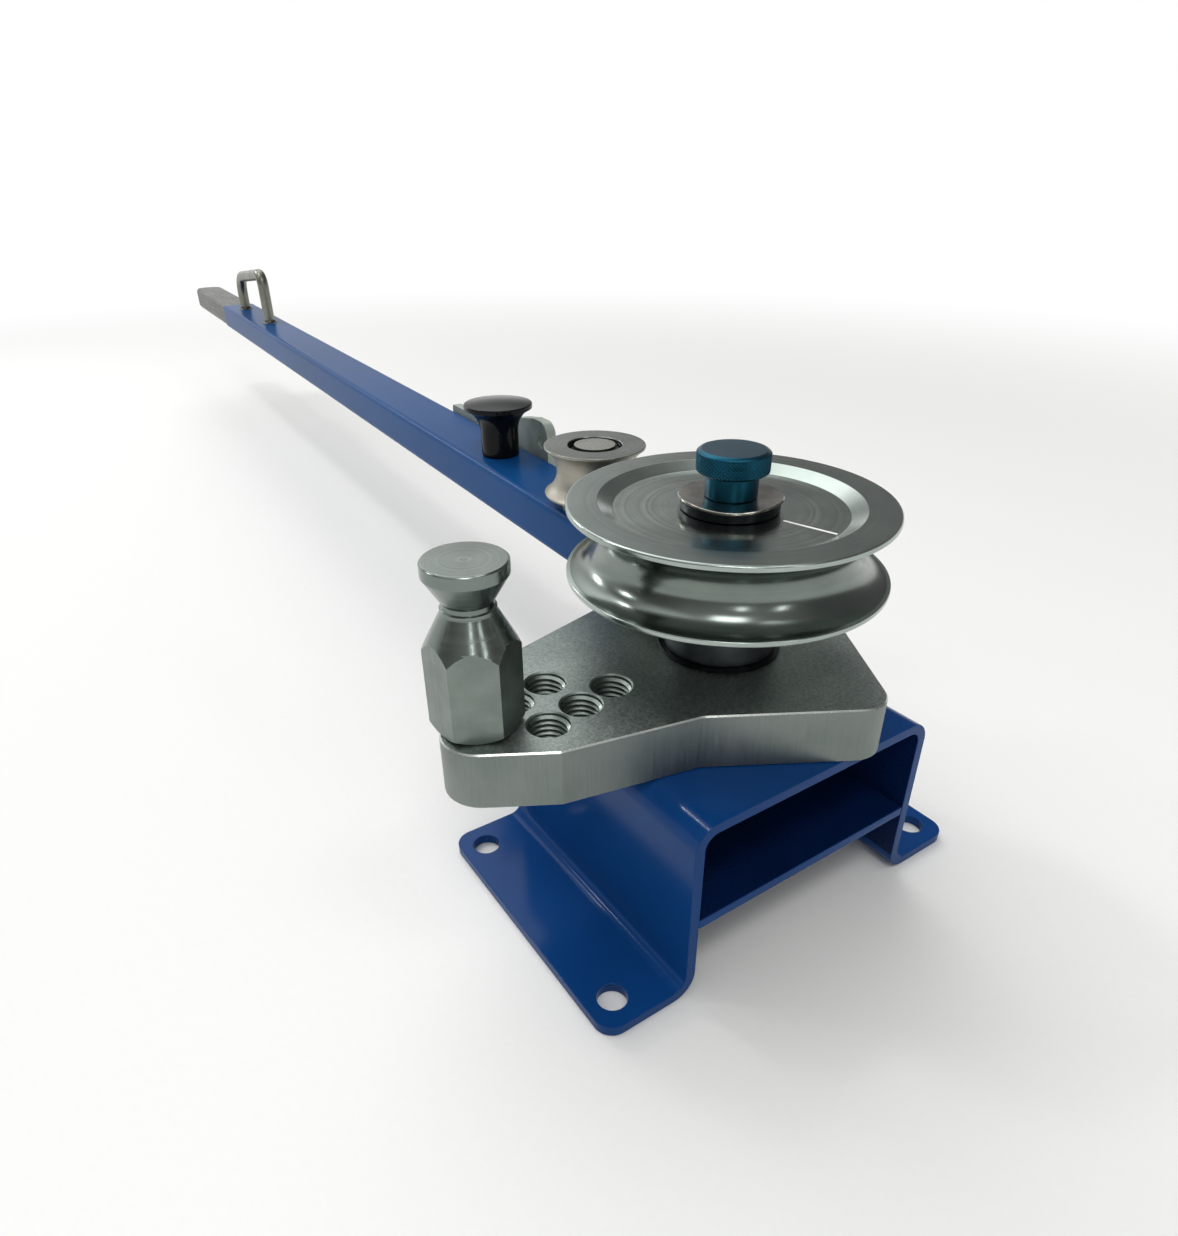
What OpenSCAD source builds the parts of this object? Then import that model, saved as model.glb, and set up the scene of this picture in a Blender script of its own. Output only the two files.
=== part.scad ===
// Bench-mounted hand tube bender: a lever arm with a follower roller swings
// round a grooved form wheel, and a screw-in stop post holds the tube back.
// Origin: centre of the four base bolt holes, on the bench. X across the base,
// Y along it, Z up. The arm lies nearly along +Y at rest.

/* [Base bracket] */
// Width of the base over its two flanges
base_w = 173; // [160:1:200]
// Length of the base
base_l = 111; // [100:1:140]
// Height of the base
base_h = 72.5; // [66:0.5:90]
// Width over the two webs
web_w = 108; // [104:1:116]
// Thickness of the folded sheet
sheet_t = 4; // [3:0.5:5]
// Inside radius of the folds
fold_r = 5; // [3:0.5:7]
// Radius of the flange corners
flange_corner_r = 7; // [4:1:12]
// Distance of a bench bolt from the flange's outer edge
bolt_edge_x = 10; // [9:0.5:11]
// Distance of a bench bolt from the base's near and far ends
bolt_edge_y = 11; // [9:0.5:16]
// Diameter of a bench bolt hole
bolt_hole_d = 10.5; // [8:0.5:12]
// Height of the underside of the tie shelf
shelf_z = 29.5; // [24:0.5:32]

/* [Stop plate] */
// Thickness of the stop plate
plate_t = 20.5; // [16:0.5:24]
// Distance of the plate's near and far sides from the pivot
head_half = 47; // [45:0.5:52]
// Distance of the plate's right side from the pivot
head_right = 49; // [46:0.5:56]
// Distance of the slanted back edge from the pivot
slant_d = 52.2; // [50:0.2:56]
// Reach of the tongue from the pivot
tongue_reach = 97; // [96:0.5:104]
// Distance of the tongue's near side from the pivot
tongue_side = 62.5; // [61:0.5:68]
// Turn of the plate on the base
plate_turn = -30.3; // [-34:0.1:-26]
// Radius of the corners beside the pivot
plate_corner_r = 11; // [6:0.5:14]
// Radius of the tongue's near corner
tongue_corner_r = 13; // [8:0.5:15]
// Nominal diameter of a tapped post hole
tap_d = 14; // [12:0.5:14.5]
// Pitch of the post holes along a row
hole_pitch = 15.2; // [15:0.1:16]
// Distance of the first row's first hole along the tongue
row_a_start = 47.8; // [47:0.1:50]
// Distance of the second row's first hole along the tongue
row_b_start = 61.3; // [60:0.1:62]
// Offset of the first row from the tongue's axis
row_a_side = 10.9; // [10:0.1:12]
// Offset of the second row from the tongue's axis
row_b_side = 28.7; // [28:0.1:30]

/* [Stop post] */
// Width across the flats of the post's hexagon
post_af = 26; // [22:0.5:27]
// Height of the post above the plate
post_h = 55.6; // [50:0.2:62]
// Radius of the post's top disc
post_disc_r = 13; // [11:0.5:14]
// Height of the disc's rim
post_rim_h = 4.2; // [3:0.2:5]
// Radius of the post's neck
post_neck_r = 7.8; // [6.5:0.1:9]
// Height of the neck above the plate
post_neck_z = 40.9; // [38:0.2:43]
// Half angle of the turned cone over the hexagon
post_cone = 28; // [24:1:32]
// Turn of the hexagon
post_turn = -25.8; // [-30:0.1:30]

/* [Form wheel] */
// Outer radius of the form wheel
wheel_r = 55; // [50:0.5:60]
// Height of the form wheel
wheel_h = 26.1; // [24.5:0.1:30]
// Diameter of tube that the groove fits
tube_d = 22; // [18:0.5:22]
// Radius of the flat top rim's inner edge
rim_inner_r = 44; // [40:0.5:46]
// Depth of the top recess
recess_depth = 2.85; // [2:0.05:4]
// Width of the bevel round the recess
recess_bevel = 5; // [3:0.5:7]
// Rounding of the wheel's outer edges
wheel_edge_r = 0.8; // [0.4:0.1:1]

/* [Pivot] */
// Place of the pivot across the base
pivot_x = 3; // [0:0.5:4]
// Place of the pivot along the base
pivot_y = 2; // [0:0.5:4]
// Diameter of the pivot shaft's journal
shaft_d = 24; // [20:0.5:25]
// Diameter of the shaft's threaded foot
foot_d = 20; // [16:0.5:20]
// Width across the flats of the foot nut
foot_nut_af = 30; // [28:0.5:32]
// Height of the foot nut
foot_nut_h = 16; // [12:0.5:18]
// Outer radius of the foot washer
foot_washer_r = 18.5; // [17.5:0.5:20]
// Thickness of the foot washer
foot_washer_t = 3; // [2:0.5:4]
// Radius of the thrust washer under the hub
low_washer_r = 21.8; // [21:0.1:23]
// Thickness of that washer
low_washer_t = 1.5; // [1:0.1:2]
// Thickness of the thrust washer on the hub
top_washer_t = 1.2; // [1:0.1:1.6]
// Axial gap between pieces that turn on each other
turn_gap = 0.2; // [0.15:0.05:0.3]
// Radial clearance of the turning fits
run_fit = 0.04; // [0.02:0.01:0.08]
// Wall of the plain bushes
bush_wall = 2.5; // [2:0.1:3]

/* [Clamp knob] */
// Radius of the knurled head
knob_r = 12.2; // [11:0.1:14]
// Height of the knurled head
knob_head_h = 7.7; // [6:0.1:9]
// Radius of the knob's stem
knob_stem_r = 8.8; // [7.5:0.1:10]
// Height of the knob's stem
knob_stem_h = 7.9; // [7:0.1:10]
// Diameter of the knob's screw
knob_screw_d = 10; // [8:0.5:11]
// Length of the screw in the shaft
knob_screw_l = 24; // [18:0.5:28]
// Radius of the clamp washer
clamp_washer_r = 17.5; // [15:0.5:19]
// Thickness of the clamp washer
clamp_washer_t = 1; // [0.8:0.1:1.4]
// Radius of the collar under the washer
collar_r = 16.6; // [14.5:0.1:17]
// Thickness of the collar
collar_t = 3; // [1.8:0.1:3.6]

/* [Arm] */
// Width of the arm tube
arm_w = 31.5; // [30:0.5:34]
// Height of the arm tube
arm_h = 20.8; // [20:0.1:22]
// Wall of the arm tube
arm_wall = 2; // [1.6:0.1:2.4]
// Outside corner radius of the arm tube
arm_corner_r = 3; // [2.6:0.1:3.5]
// Gap between the stop plate and the arm
arm_gap = 5; // [4.4:0.1:5.4]
// Distance from the pivot to the painted tube's far end
tube_end = 808; // [700:1:820]
// Distance from the pivot to the painted tube's near end
tube_start = 45; // [44:1:50]
// Length of the bare tang
tang_l = 178; // [150:1:200]
// Corner radius of the bare tang
tang_corner_r = 5; // [3:0.5:7]
// Wall of the bare tang
tang_wall = 2.5; // [2:0.1:4]
// Radius of the sweep under the tang's nose
nose_sweep_r = 50; // [30:1:80]
// Thickness of the tang's tip
nose_tip_t = 8; // [6:0.5:12]
// Length of the tang's spigot in the tube
spigot_l = 50; // [40:1:60]
// Angle of the arm from +X at rest
arm_angle = 87.1; // [80:0.1:95]
// Sideways offset of the arm from the pivot
arm_offset = 1.5; // [0:0.5:2]
// Outer radius of the arm hub
hub_r = 20; // [19:0.5:21]
// Length of the inner bar from the pivot
bar_end = 232; // [220:1:240]
// Clearance of the bar in the tube
bar_fit = 0.15; // [0.1:0.05:0.3]
// Spacing of the bar's index holes
index_pitch = 15; // [14:0.5:16]

/* [Pull handle] */
// Distance from the pivot to the handle's near leg
handle_at = 667; // [580:1:680]
// Distance between the handle's legs
handle_span = 104.5; // [90:0.5:112]
// Height at which the near leg's and the top's centre lines meet
handle_near_h = 41; // [37:0.5:46]
// Height at which the far leg's and the top's centre lines meet
handle_far_h = 30; // [28:0.5:36]
// Diameter of the handle's bar
handle_d = 9.5; // [7:0.5:10]
// Bend radius of the bar over the near leg
handle_near_bend = 9; // [8:0.5:12]
// Bend radius of the bar over the far leg
handle_far_bend = 19; // [12:0.5:20]

/* [Follower roller] */
// Distance from the pivot to the roller's axis
roller_at = 86.4; // [84:0.1:90]
// Outer radius of the roller
roller_r = 21; // [19:0.1:21.5]
// Height of the roller
roller_h = 20.5; // [19:0.1:22]
// Depth of the roller's groove
roller_groove = 5.2; // [4:0.1:5.6]
// Diameter of the roller's pin
pin_d = 17; // [15:0.1:17.5]
// Diameter of the pin's foot in the arm
pin_foot_d = 12; // [10:0.5:12.5]
// Radius of the roller's counterbore
counterbore_r = 11.2; // [10.9:0.1:12]
// Depth of the roller's counterbore
counterbore_depth = 3.5; // [3:0.1:4]
// Thickness of the spacer under the roller
spacer_t = 5.6; // [4:0.1:6.4]
// Radius of the spacer
spacer_r = 14; // [12.5:0.5:15]
// Thickness of the retaining ring
ring_t = 1; // [0.8:0.1:1.2]

/* [Index plunger] */
// Distance from the pivot to the plunger
plunger_at = 174.5; // [172:0.5:177]
// Radius of the mushroom head
mushroom_r = 16.7; // [15:0.1:18]
// Height of the mushroom knob
mushroom_h = 26.6; // [25.5:0.1:30]
// Thickness of the mushroom head's rim
mushroom_rim_h = 2.6; // [2:0.1:3.5]
// Radius of the knob's neck
neck_r = 9.3; // [9:0.1:10]
// Radius of the hollow flare from the neck to the rim
flare_r = 12; // [9:0.5:16]
// Rise of the head's domed top
dome_h = 1.2; // [0.6:0.1:2]
// Radius of the plunger body
body_r = 7; // [6.6:0.1:7]
// Diameter of the locking pin
lock_pin_d = 8; // [7:0.1:8]
// Travel of the locking pin
pull_travel = 7; // [6.8:0.1:7]
// Depth that the locking pin reaches into the bar
lock_depth = 6; // [5:0.1:6.2]
// Length of the spring chamber
chamber_l = 15.5; // [15:0.1:16]
// Diameter of the spring's wire
wire_d = 1; // [0.8:0.1:1]
// Number of the spring's coils
spring_coils = 5; // [4:1:5]

/* [Side cheek] */
// Distance from the pivot to the cheek's near end
cheek_start = 154; // [152:0.5:158]
// Length of the cheek
cheek_l = 118; // [112:1:124]
// Thickness of the cheek
cheek_t = 5; // [4:0.5:6]
// Rise of the cheek's ear over the arm
ear_h = 17; // [14:0.5:19]
// Rise of the cheek's low tail over the arm
tail_h = 3; // [2:0.5:4]
// Length of the cheek's low tail
tail_l = 42; // [36:1:50]
// Diameter of the hole in the ear
ear_hole_d = 5; // [4:0.5:6]
// Distance of the ear's hole from the cheek's near end
ear_hole_at = 7.5; // [6.5:0.5:9]
// Height of the ear's hole over the arm
ear_hole_h = 6.5; // [6:0.5:8]
// Diameter of the screws that hold the cheek
cheek_screw_d = 6; // [5:0.5:6]
// Distance of those screws from the cheek's ends
cheek_screw_edge = 14; // [10:1:20]

/* [Hidden] */
$fn = 96;

// Small gap that lets a cut pass a face, and general assembly clearances
cut = 1;
screw_fit = 0.05;
slide_fit = 0.15;
loose_fit = 0.5;

// Distances between bench bolts
bolt_span_x = base_w - 2 * bolt_edge_x;
bolt_span_y = base_l - 2 * bolt_edge_y;

// Heights of the pivot stack, from the bench upwards
plate_z = base_h + plate_t;
hub_z = plate_z + low_washer_t + turn_gap;
arm_z = plate_z + arm_gap;
arm_top = arm_z + arm_h;
hub_top = arm_top + 1.5;
top_washer_z = hub_top;
wheel_z = top_washer_z + top_washer_t + turn_gap;
wheel_top = wheel_z + wheel_h;
floor_z = wheel_top - recess_depth;
shaft_top = floor_z + turn_gap;
collar_z = shaft_top;
clamp_washer_z = collar_z + collar_t;
knob_z = clamp_washer_z + clamp_washer_t;
bush_r = shaft_d / 2 + bush_wall;

// Screws that hold the stop plate from inside the base
plate_screw_d = 8;
plate_screw_head_d = 13;
plate_screw_depth = 14;
plate_screw_at = 24;
plate_washer_r = 8;
plate_washer_t = 1.6;
plate_screw_places = [for (i = [0:3]) plate_screw_at * [i < 2 ? 1 : -1, i % 2 == 0 ? 1 : -1]];

// Post holes, along the tongue and to its side; the last one holds the post
tongue_turn = 225 + plate_turn;
row_a = [for (i = [0:2]) [row_a_start + i * hole_pitch, -row_a_side]];
row_b = [for (i = [0:2]) [row_b_start + i * hole_pitch, -row_b_side]];
post_place = row_b[2];
post_stud_r = tap_d / 2 - screw_fit;
post_ac_r = post_af / 2 / cos(30);
post_cone_z = post_neck_z - (post_ac_r - post_neck_r) / tan(post_cone);

// Arm, in its own frame: x along the arm from the pivot, y to its left
tube_in_r = arm_corner_r - arm_wall + 0.2;
roller_z = arm_top + spacer_t + turn_gap;
roller_top = roller_z + roller_h;
bar_w = arm_w - 2 * arm_wall - 2 * bar_fit;
bar_h = arm_h - 2 * arm_wall - 2 * bar_fit;
bar_z = arm_z + arm_wall + bar_fit;
bar_top = bar_z + bar_h;
body_z = arm_top - arm_wall;
guide_h = 3;
chamber_z = body_z + guide_h;
chamber_r = body_r - 1.4;
cap_z = chamber_z + chamber_l;
cap_h = 3;
lock_r = lock_pin_d / 2;
collar_h = 2;
pin_tip_z = bar_top - lock_depth;
knob_cavity_z = cap_z + cap_h + 1;
knob_bottom = arm_top + 0.3;
knob_top = arm_top + mushroom_h;
pin_top_z = knob_top - 2.5;
cheek_y = -arm_w / 2 - cheek_t;
cheek_low = arm_z + 3;
cheek_screw_head_d = cheek_screw_d + 4;
cheek_screw_z = arm_z + arm_h / 2;
cheek_screw_places = [cheek_start + cheek_screw_edge, cheek_start + cheek_l - cheek_screw_edge];
tang_end = tube_end + tang_l;
nose_r = arm_w / 2;

// Points of an arc about c, from angle a0 to a1
function arc(c, r, a0, a1, n = 8) =
    [for (i = [0:n]) let (a = a0 + (a1 - a0) * i / n) c + r * [cos(a), sin(a)]];

// Points of a closed outline whose corners pt are rounded to the radii rad
function unit(v) = v / norm(v);
function rounded(pt, rad, n = 8) = [for (i = [0:len(pt) - 1])
    let (p = pt[i],
         u = unit(pt[(i + len(pt) - 1) % len(pt)] - p),
         v = unit(pt[(i + 1) % len(pt)] - p),
         half = acos(u * v) / 2,
         reach = rad[i] / tan(half),
         c = p + unit(u + v) * rad[i] / sin(half),
         a = p + u * reach - c,
         b = p + v * reach - c,
         a0 = atan2(a[1], a[0]),
         turn = (atan2(b[1], b[0]) - a0 + 540) % 360 - 180)
    each rad[i] == 0 ? [p] : arc(c, rad[i], a0, a0 + turn, n)];

// Rectangle with true round corners, centred
module round_rect(w, h, r) {
    square([w - 2 * r, h], center = true);
    square([w, h - 2 * r], center = true);
    for (x = [-1, 1], y = [-1, 1])
        translate([x * (w / 2 - r), y * (h / 2 - r)]) circle(r);
}

module ring(r_out, r_in, h) {
    difference() {
        cylinder(r = r_out, h = h);
        translate([0, 0, -cut]) cylinder(r = r_in, h = h + 2 * cut);
    }
}

// Prism on a hexagon of the given width across flats
module hexagon(af, h) {
    cylinder(r = af / 2 / cos(30), h = h, $fn = 6);
}

// Socket-head screw with its head below z = 0 and its shank up to z = reach
module socket_screw(d, head_d, reach) {
    difference() {
        translate([0, 0, -d]) cylinder(d = head_d, h = d);
        translate([0, 0, -d - cut]) hexagon(0.75 * d, 0.5 * d + cut);
    }
    cylinder(d = d, h = reach);
}

module at_pivot() {
    translate([pivot_x, pivot_y, 0]) children();
}

module at_plate() {
    at_pivot() rotate(plate_turn) children();
}

module at_tongue(p) {
    at_pivot() rotate(tongue_turn) translate(p) children();
}

module at_arm(s = 0) {
    at_pivot() rotate(arm_angle) translate([s, arm_offset, 0]) children();
}

// The roller stands on the radial line through the pivot
module at_roller() {
    at_pivot() rotate(arm_angle) translate([roller_at, 0, 0]) children();
}

// Hat profile of the folded base, from the left flange over the top and back
module hat_profile() {
    out = web_w / 2;
    inn = out - sheet_t;
    far = base_w / 2;
    big = fold_r + sheet_t;
    pts = [[-far, 0], [-inn, 0], [-inn, base_h - sheet_t], [inn, base_h - sheet_t], [inn, 0],
        [far, 0], [far, sheet_t], [out, sheet_t], [out, base_h], [-out, base_h],
        [-out, sheet_t], [-far, sheet_t]];
    polygon(rounded(pts, [0, big, fold_r, fold_r, big, 0, 0, fold_r, big, big, fold_r, 0]));
}

module base_bracket() {
    color("#144488") difference() {
        intersection() {
            translate([0, base_l / 2, 0]) rotate([90, 0, 0]) linear_extrude(base_l) hat_profile();
            linear_extrude(base_h) round_rect(base_w, base_l, flange_corner_r);
        }
        for (x = [-1, 1], y = [-1, 1])
            translate([x * bolt_span_x / 2, y * bolt_span_y / 2, -cut])
                cylinder(d = bolt_hole_d, h = sheet_t + 2 * cut);
        at_pivot() translate([0, 0, base_h - sheet_t - cut])
            cylinder(d = foot_d + 2 * screw_fit, h = sheet_t + 2 * cut);
        at_plate() for (p = plate_screw_places)
            translate([p[0], p[1], base_h - sheet_t - cut])
                cylinder(d = plate_screw_d + loose_fit, h = sheet_t + 2 * cut);
    }
}

// Tie plate welded between the webs
module base_shelf() {
    color("#144488") translate([-web_w / 2 + sheet_t, -base_l / 2, shelf_z])
        cube([web_w - 2 * sheet_t, base_l, sheet_t]);
}

module plate_outline() {
    slant = slant_d * sqrt(2);
    neck = [-14, -head_half];
    flare = [-tongue_side + 3, -tongue_side];
    pts = [[head_right, -head_half], [head_right, head_half], [head_half - slant, head_half],
        [-tongue_reach, slant - tongue_reach], [-tongue_reach, -tongue_side], flare, neck];
    polygon(rounded(pts, [plate_corner_r, plate_corner_r, 6, 10, tongue_corner_r, 4, 6]));
}

module stop_plate() {
    color("#7F8A86") difference() {
        at_plate() translate([0, 0, base_h]) linear_extrude(plate_t) plate_outline();
        at_pivot() translate([0, 0, base_h - cut])
            cylinder(d = shaft_d + 2 * screw_fit, h = plate_t + 2 * cut);
        for (p = concat(row_a, row_b))
            at_tongue(p) translate([0, 0, base_h - cut]) cylinder(d = tap_d, h = plate_t + 2 * cut);
        at_plate() for (p = plate_screw_places)
            translate([p[0], p[1], base_h - cut])
                cylinder(d = plate_screw_d + 2 * screw_fit, h = plate_screw_depth + cut);
    }
}

module plate_washers() {
    color("#9AA19C") at_plate() for (p = plate_screw_places)
        translate([p[0], p[1], base_h - sheet_t - plate_washer_t])
            ring(plate_washer_r, plate_screw_d / 2 + loose_fit / 2, plate_washer_t);
}

module plate_screws() {
    head_z = base_h - sheet_t - plate_washer_t;
    color("#33383A") at_plate() for (p = plate_screw_places)
        translate([p[0], p[1], head_z])
            socket_screw(plate_screw_d, plate_screw_head_d, base_h + plate_screw_depth - 2 - head_z);
}

// Turned shaft: threaded foot, seat in the plate, journal, tapped top
module pivot_shaft() {
    foot_z = base_h - sheet_t - foot_washer_t - foot_nut_h - 3;
    color("#A3A8A5") at_pivot() difference() {
        union() {
            translate([0, 0, foot_z]) cylinder(d = foot_d, h = base_h - foot_z);
            translate([0, 0, base_h]) cylinder(d = shaft_d, h = shaft_top - base_h);
        }
        translate([0, 0, shaft_top - knob_screw_l - 2])
            cylinder(d = knob_screw_d + 2 * screw_fit, h = knob_screw_l + 2 + cut);
        translate([0, 0, foot_z - cut]) rotate_extrude()
            polygon([[foot_d / 2 - 1.5, 0], [foot_d / 2 + 1, 0], [foot_d / 2 + 1, cut + 2.5]]);
    }
}

module foot_washer() {
    color("#9AA19C") at_pivot() translate([0, 0, base_h - sheet_t - foot_washer_t])
        ring(foot_washer_r, foot_d / 2 + slide_fit, foot_washer_t);
}

// Hexagon nut with both faces turned to a chamfer
module foot_nut() {
    nut_z = base_h - sheet_t - foot_washer_t - foot_nut_h;
    flat = foot_nut_af / 2;
    color("#9AA19C") at_pivot() translate([0, 0, nut_z]) difference() {
        intersection() {
            hexagon(foot_nut_af, foot_nut_h);
            rotate_extrude() polygon([[0, 0], [flat, 0], [flat + 3, 1.8],
                [flat + 3, foot_nut_h - 1.8], [flat, foot_nut_h], [0, foot_nut_h]]);
        }
        translate([0, 0, -cut]) cylinder(r = foot_d / 2 + screw_fit, h = foot_nut_h + 2 * cut);
    }
}

module low_thrust_washer() {
    color("#7F8A86") at_pivot() translate([0, 0, plate_z])
        ring(low_washer_r, shaft_d / 2 + slide_fit, low_washer_t);
}

module top_thrust_washer() {
    color("#B08D57") at_pivot() translate([0, 0, top_washer_z])
        ring(hub_r - 1, shaft_d / 2 + slide_fit, top_washer_t);
}

module thrust_collar() {
    color("#22272A") at_pivot() translate([0, 0, collar_z])
        ring(collar_r, knob_screw_d / 2 + slide_fit, collar_t);
}

// Screw-in stop post: hexagon bar turned to a cone, a neck and a disc, with a threaded stud.
// The cone cuts each flat off in an arc.
module stop_post() {
    disc_z = post_h - post_rim_h;
    wide = post_ac_r + 1;
    wide_z = post_cone_z - (wide - post_ac_r) / tan(post_cone);
    bead_r = post_neck_r + 0.7;
    bead_z = post_neck_z - (bead_r - post_neck_r) / tan(post_cone);
    color("#7F8A86") at_tongue(post_place) translate([0, 0, plate_z]) rotate(post_turn - tongue_turn) {
        intersection() {
            hexagon(post_af, post_neck_z);
            rotate_extrude() polygon([[0, 0], [post_af / 2 - 0.6, 0], [post_ac_r, 1.8], [wide, 2.4],
                [wide, wide_z], [bead_r, bead_z], [bead_r, post_neck_z], [0, post_neck_z]]);
        }
        translate([0, 0, post_neck_z]) rotate_extrude() polygon([[0, 0], [bead_r, 0], [post_neck_r, 0.3],
            [post_neck_r, 1.8], [post_disc_r, disc_z - post_neck_z],
            [post_disc_r, post_h - post_neck_z - 0.5], [post_disc_r - 0.5, post_h - post_neck_z],
            [0, post_h - post_neck_z]]);
        translate([0, 0, -plate_t + 0.5]) cylinder(r = post_stud_r, h = plate_t);
    }
}

module arm_hub() {
    color("#7F8A86") at_pivot() translate([0, 0, hub_z])
        ring(hub_r, bush_r + screw_fit / 2, hub_top - hub_z);
}

module hub_bush() {
    color("#B08D57") at_pivot() translate([0, 0, hub_z])
        ring(bush_r, shaft_d / 2 + run_fit, hub_top - hub_z);
}

// Flat bar welded to the hub; the tube is drawn over it and locked by the plunger
module arm_bar() {
    slot_l = 2 * index_pitch;
    color("#7F8A86") difference() {
        along_arm(0, bar_end) round_rect(bar_w, bar_h, tube_in_r);
        at_pivot() cylinder(r = hub_r, h = arm_top);
        at_roller() translate([0, 0, bar_z - cut]) {
            for (x = [-1, 1]) translate([x * slot_l / 2, 0, 0])
                cylinder(d = pin_foot_d + 1, h = bar_h + 2 * cut);
            translate([-slot_l / 2, -pin_foot_d / 2 - 0.5, 0])
                cube([slot_l, pin_foot_d + 1, bar_h + 2 * cut]);
        }
        for (i = [-2:2]) at_arm(plunger_at + i * index_pitch)
            translate([0, 0, bar_z - cut]) cylinder(r = lock_r + slide_fit, h = bar_h + 2 * cut);
    }
}

module tube_profile() {
    difference() {
        round_rect(arm_w, arm_h, arm_corner_r);
        round_rect(arm_w - 2 * arm_wall, arm_h - 2 * arm_wall, tube_in_r);
    }
}

// Runs a profile along the arm from distance s0 to s1
module along_arm(s0, s1) {
    at_arm() translate([s0, 0, arm_z + arm_h / 2]) rotate([90, 0, 90]) linear_extrude(s1 - s0) children();
}

module arm_tube() {
    color("#1C4C86") difference() {
        along_arm(tube_start, tube_end) tube_profile();
        at_roller() translate([0, 0, arm_z - cut])
            cylinder(d = pin_foot_d + 2 * screw_fit, h = arm_h + 2 * cut);
        at_arm(plunger_at) translate([0, 0, body_z - cut])
            cylinder(r = body_r + screw_fit, h = arm_wall + 2 * cut);
        for (s = cheek_screw_places) at_arm(s) translate([0, -arm_w / 2 - cut, cheek_screw_z])
            rotate([-90, 0, 0]) cylinder(d = cheek_screw_d + 2 * screw_fit, h = arm_wall + 2 * cut);
    }
}

// Bare end of the arm: a rounded hollow section with a leaf-shaped nose and a spigot
module arm_tang() {
    spigot_w = arm_w - 2 * arm_wall - 2 * slide_fit;
    spigot_h = arm_h - 2 * arm_wall - 2 * slide_fit;
    color("#7E8480") difference() {
        union() {
            intersection() {
                along_arm(tube_end, tang_end) round_rect(arm_w, arm_h, tang_corner_r);
                at_arm() translate([0, 0, arm_z]) linear_extrude(arm_h) {
                    translate([tube_end, -arm_w / 2]) square([tang_l - nose_r, arm_w]);
                    translate([tang_end - nose_r, 0]) circle(nose_r);
                }
                at_arm() translate([0, arm_w / 2, arm_top]) rotate([90, 0, 0]) linear_extrude(arm_w)
                    nose_side();
            }
            along_arm(tube_end - spigot_l, tube_end) round_rect(spigot_w, spigot_h, tube_in_r);
        }
        along_arm(tube_end - spigot_l - cut, tang_end - nose_run - tang_wall)
            round_rect(spigot_w - 2 * tang_wall, spigot_h - 2 * tang_wall, tube_in_r);
    }
}

// Side view of the tang, below the arm's top line: the underside sweeps up to a blunt tip
nose_turn = acos(1 - (arm_h - nose_tip_t) / nose_sweep_r);
nose_run = nose_sweep_r * sin(nose_turn);

module nose_side() {
    polygon(concat([[tube_end, 0], [tube_end, -arm_h]],
        arc([tang_end - nose_run, nose_sweep_r - arm_h], nose_sweep_r, -90, nose_turn - 90, 6),
        [[tang_end, 0]]));
}

// Round bar along the points pts of one plane, turned right at each inner point on its bend radius.
// A bend is a hair fuller than the straights, which run a little way into it.
module bent_bar(pts, radii, d) {
    last = len(pts) - 1;
    way = [for (i = [0:last - 1]) unit(pts[i + 1] - pts[i])];
    head = [for (w = way) atan2(w[1], w[0])];
    trim = [for (i = [0:last]) i == 0 || i == last ? 0 : radii[i - 1] * tan((head[i - 1] - head[i]) / 2)];
    run_in = 0.3;
    swell = 0.02;
    for (i = [0:last - 1]) {
        back = i == 0 ? 0 : trim[i] - run_in;
        ahead = i == last - 1 ? 0 : trim[i + 1] - run_in;
        translate(pts[i] + way[i] * back) rotate(head[i]) rotate([0, 90, 0])
            cylinder(d = d, h = norm(pts[i + 1] - pts[i]) - back - ahead);
    }
    for (i = [1:last - 1]) {
        w = way[i - 1];
        r = radii[i - 1];
        translate(pts[i] - w * trim[i] + r * [w[1], -w[0]]) rotate(head[i] + 90)
            rotate_extrude(angle = head[i - 1] - head[i]) translate([r, 0]) circle(d = d + swell);
    }
}

// Hoop welded to the top of the arm, lower and rounder at its far leg
module pull_handle() {
    color("#8E938F") at_arm(handle_at) translate([0, 0, arm_top]) rotate([90, 0, 0])
        bent_bar([[0, 0], [0, handle_near_h], [handle_span, handle_far_h], [handle_span, 0]],
            [handle_near_bend, handle_far_bend], handle_d);
}

// Tapered cheek on the far side of the arm, with an ear over the arm's top
module cheek_outline() {
    low = cheek_low - arm_top;
    ear_l = 2 * ear_hole_at;
    pts = [[0, low], [cheek_l, low], [cheek_l, tail_h], [cheek_l - tail_l, tail_h],
        [2 * ear_l - 2, ear_h - 2.5], [ear_l - 1, ear_h], [0, ear_h]];
    polygon(rounded(pts, [4, 4, 2, 12, 8, 8, 7]));
}

module side_cheek() {
    color("#7F8A86") difference() {
        at_arm(cheek_start) translate([0, cheek_y + cheek_t, arm_top]) rotate([90, 0, 0])
            linear_extrude(cheek_t) cheek_outline();
        at_arm(cheek_start) translate([ear_hole_at, cheek_y - cut, arm_top + ear_hole_h]) rotate([-90, 0, 0])
            cylinder(d = ear_hole_d, h = cheek_t + 2 * cut);
        for (s = cheek_screw_places) at_arm(s) translate([0, cheek_y - cut, cheek_screw_z])
            rotate([-90, 0, 0]) cylinder(d = cheek_screw_d + 2 * slide_fit, h = cheek_t + 2 * cut);
    }
}

module cheek_screws() {
    color("#33383A") for (s = cheek_screw_places) at_arm(s)
        translate([0, cheek_y, cheek_screw_z]) rotate([-90, 0, 0])
            socket_screw(cheek_screw_d, cheek_screw_head_d, cheek_t + arm_wall);
}

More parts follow.
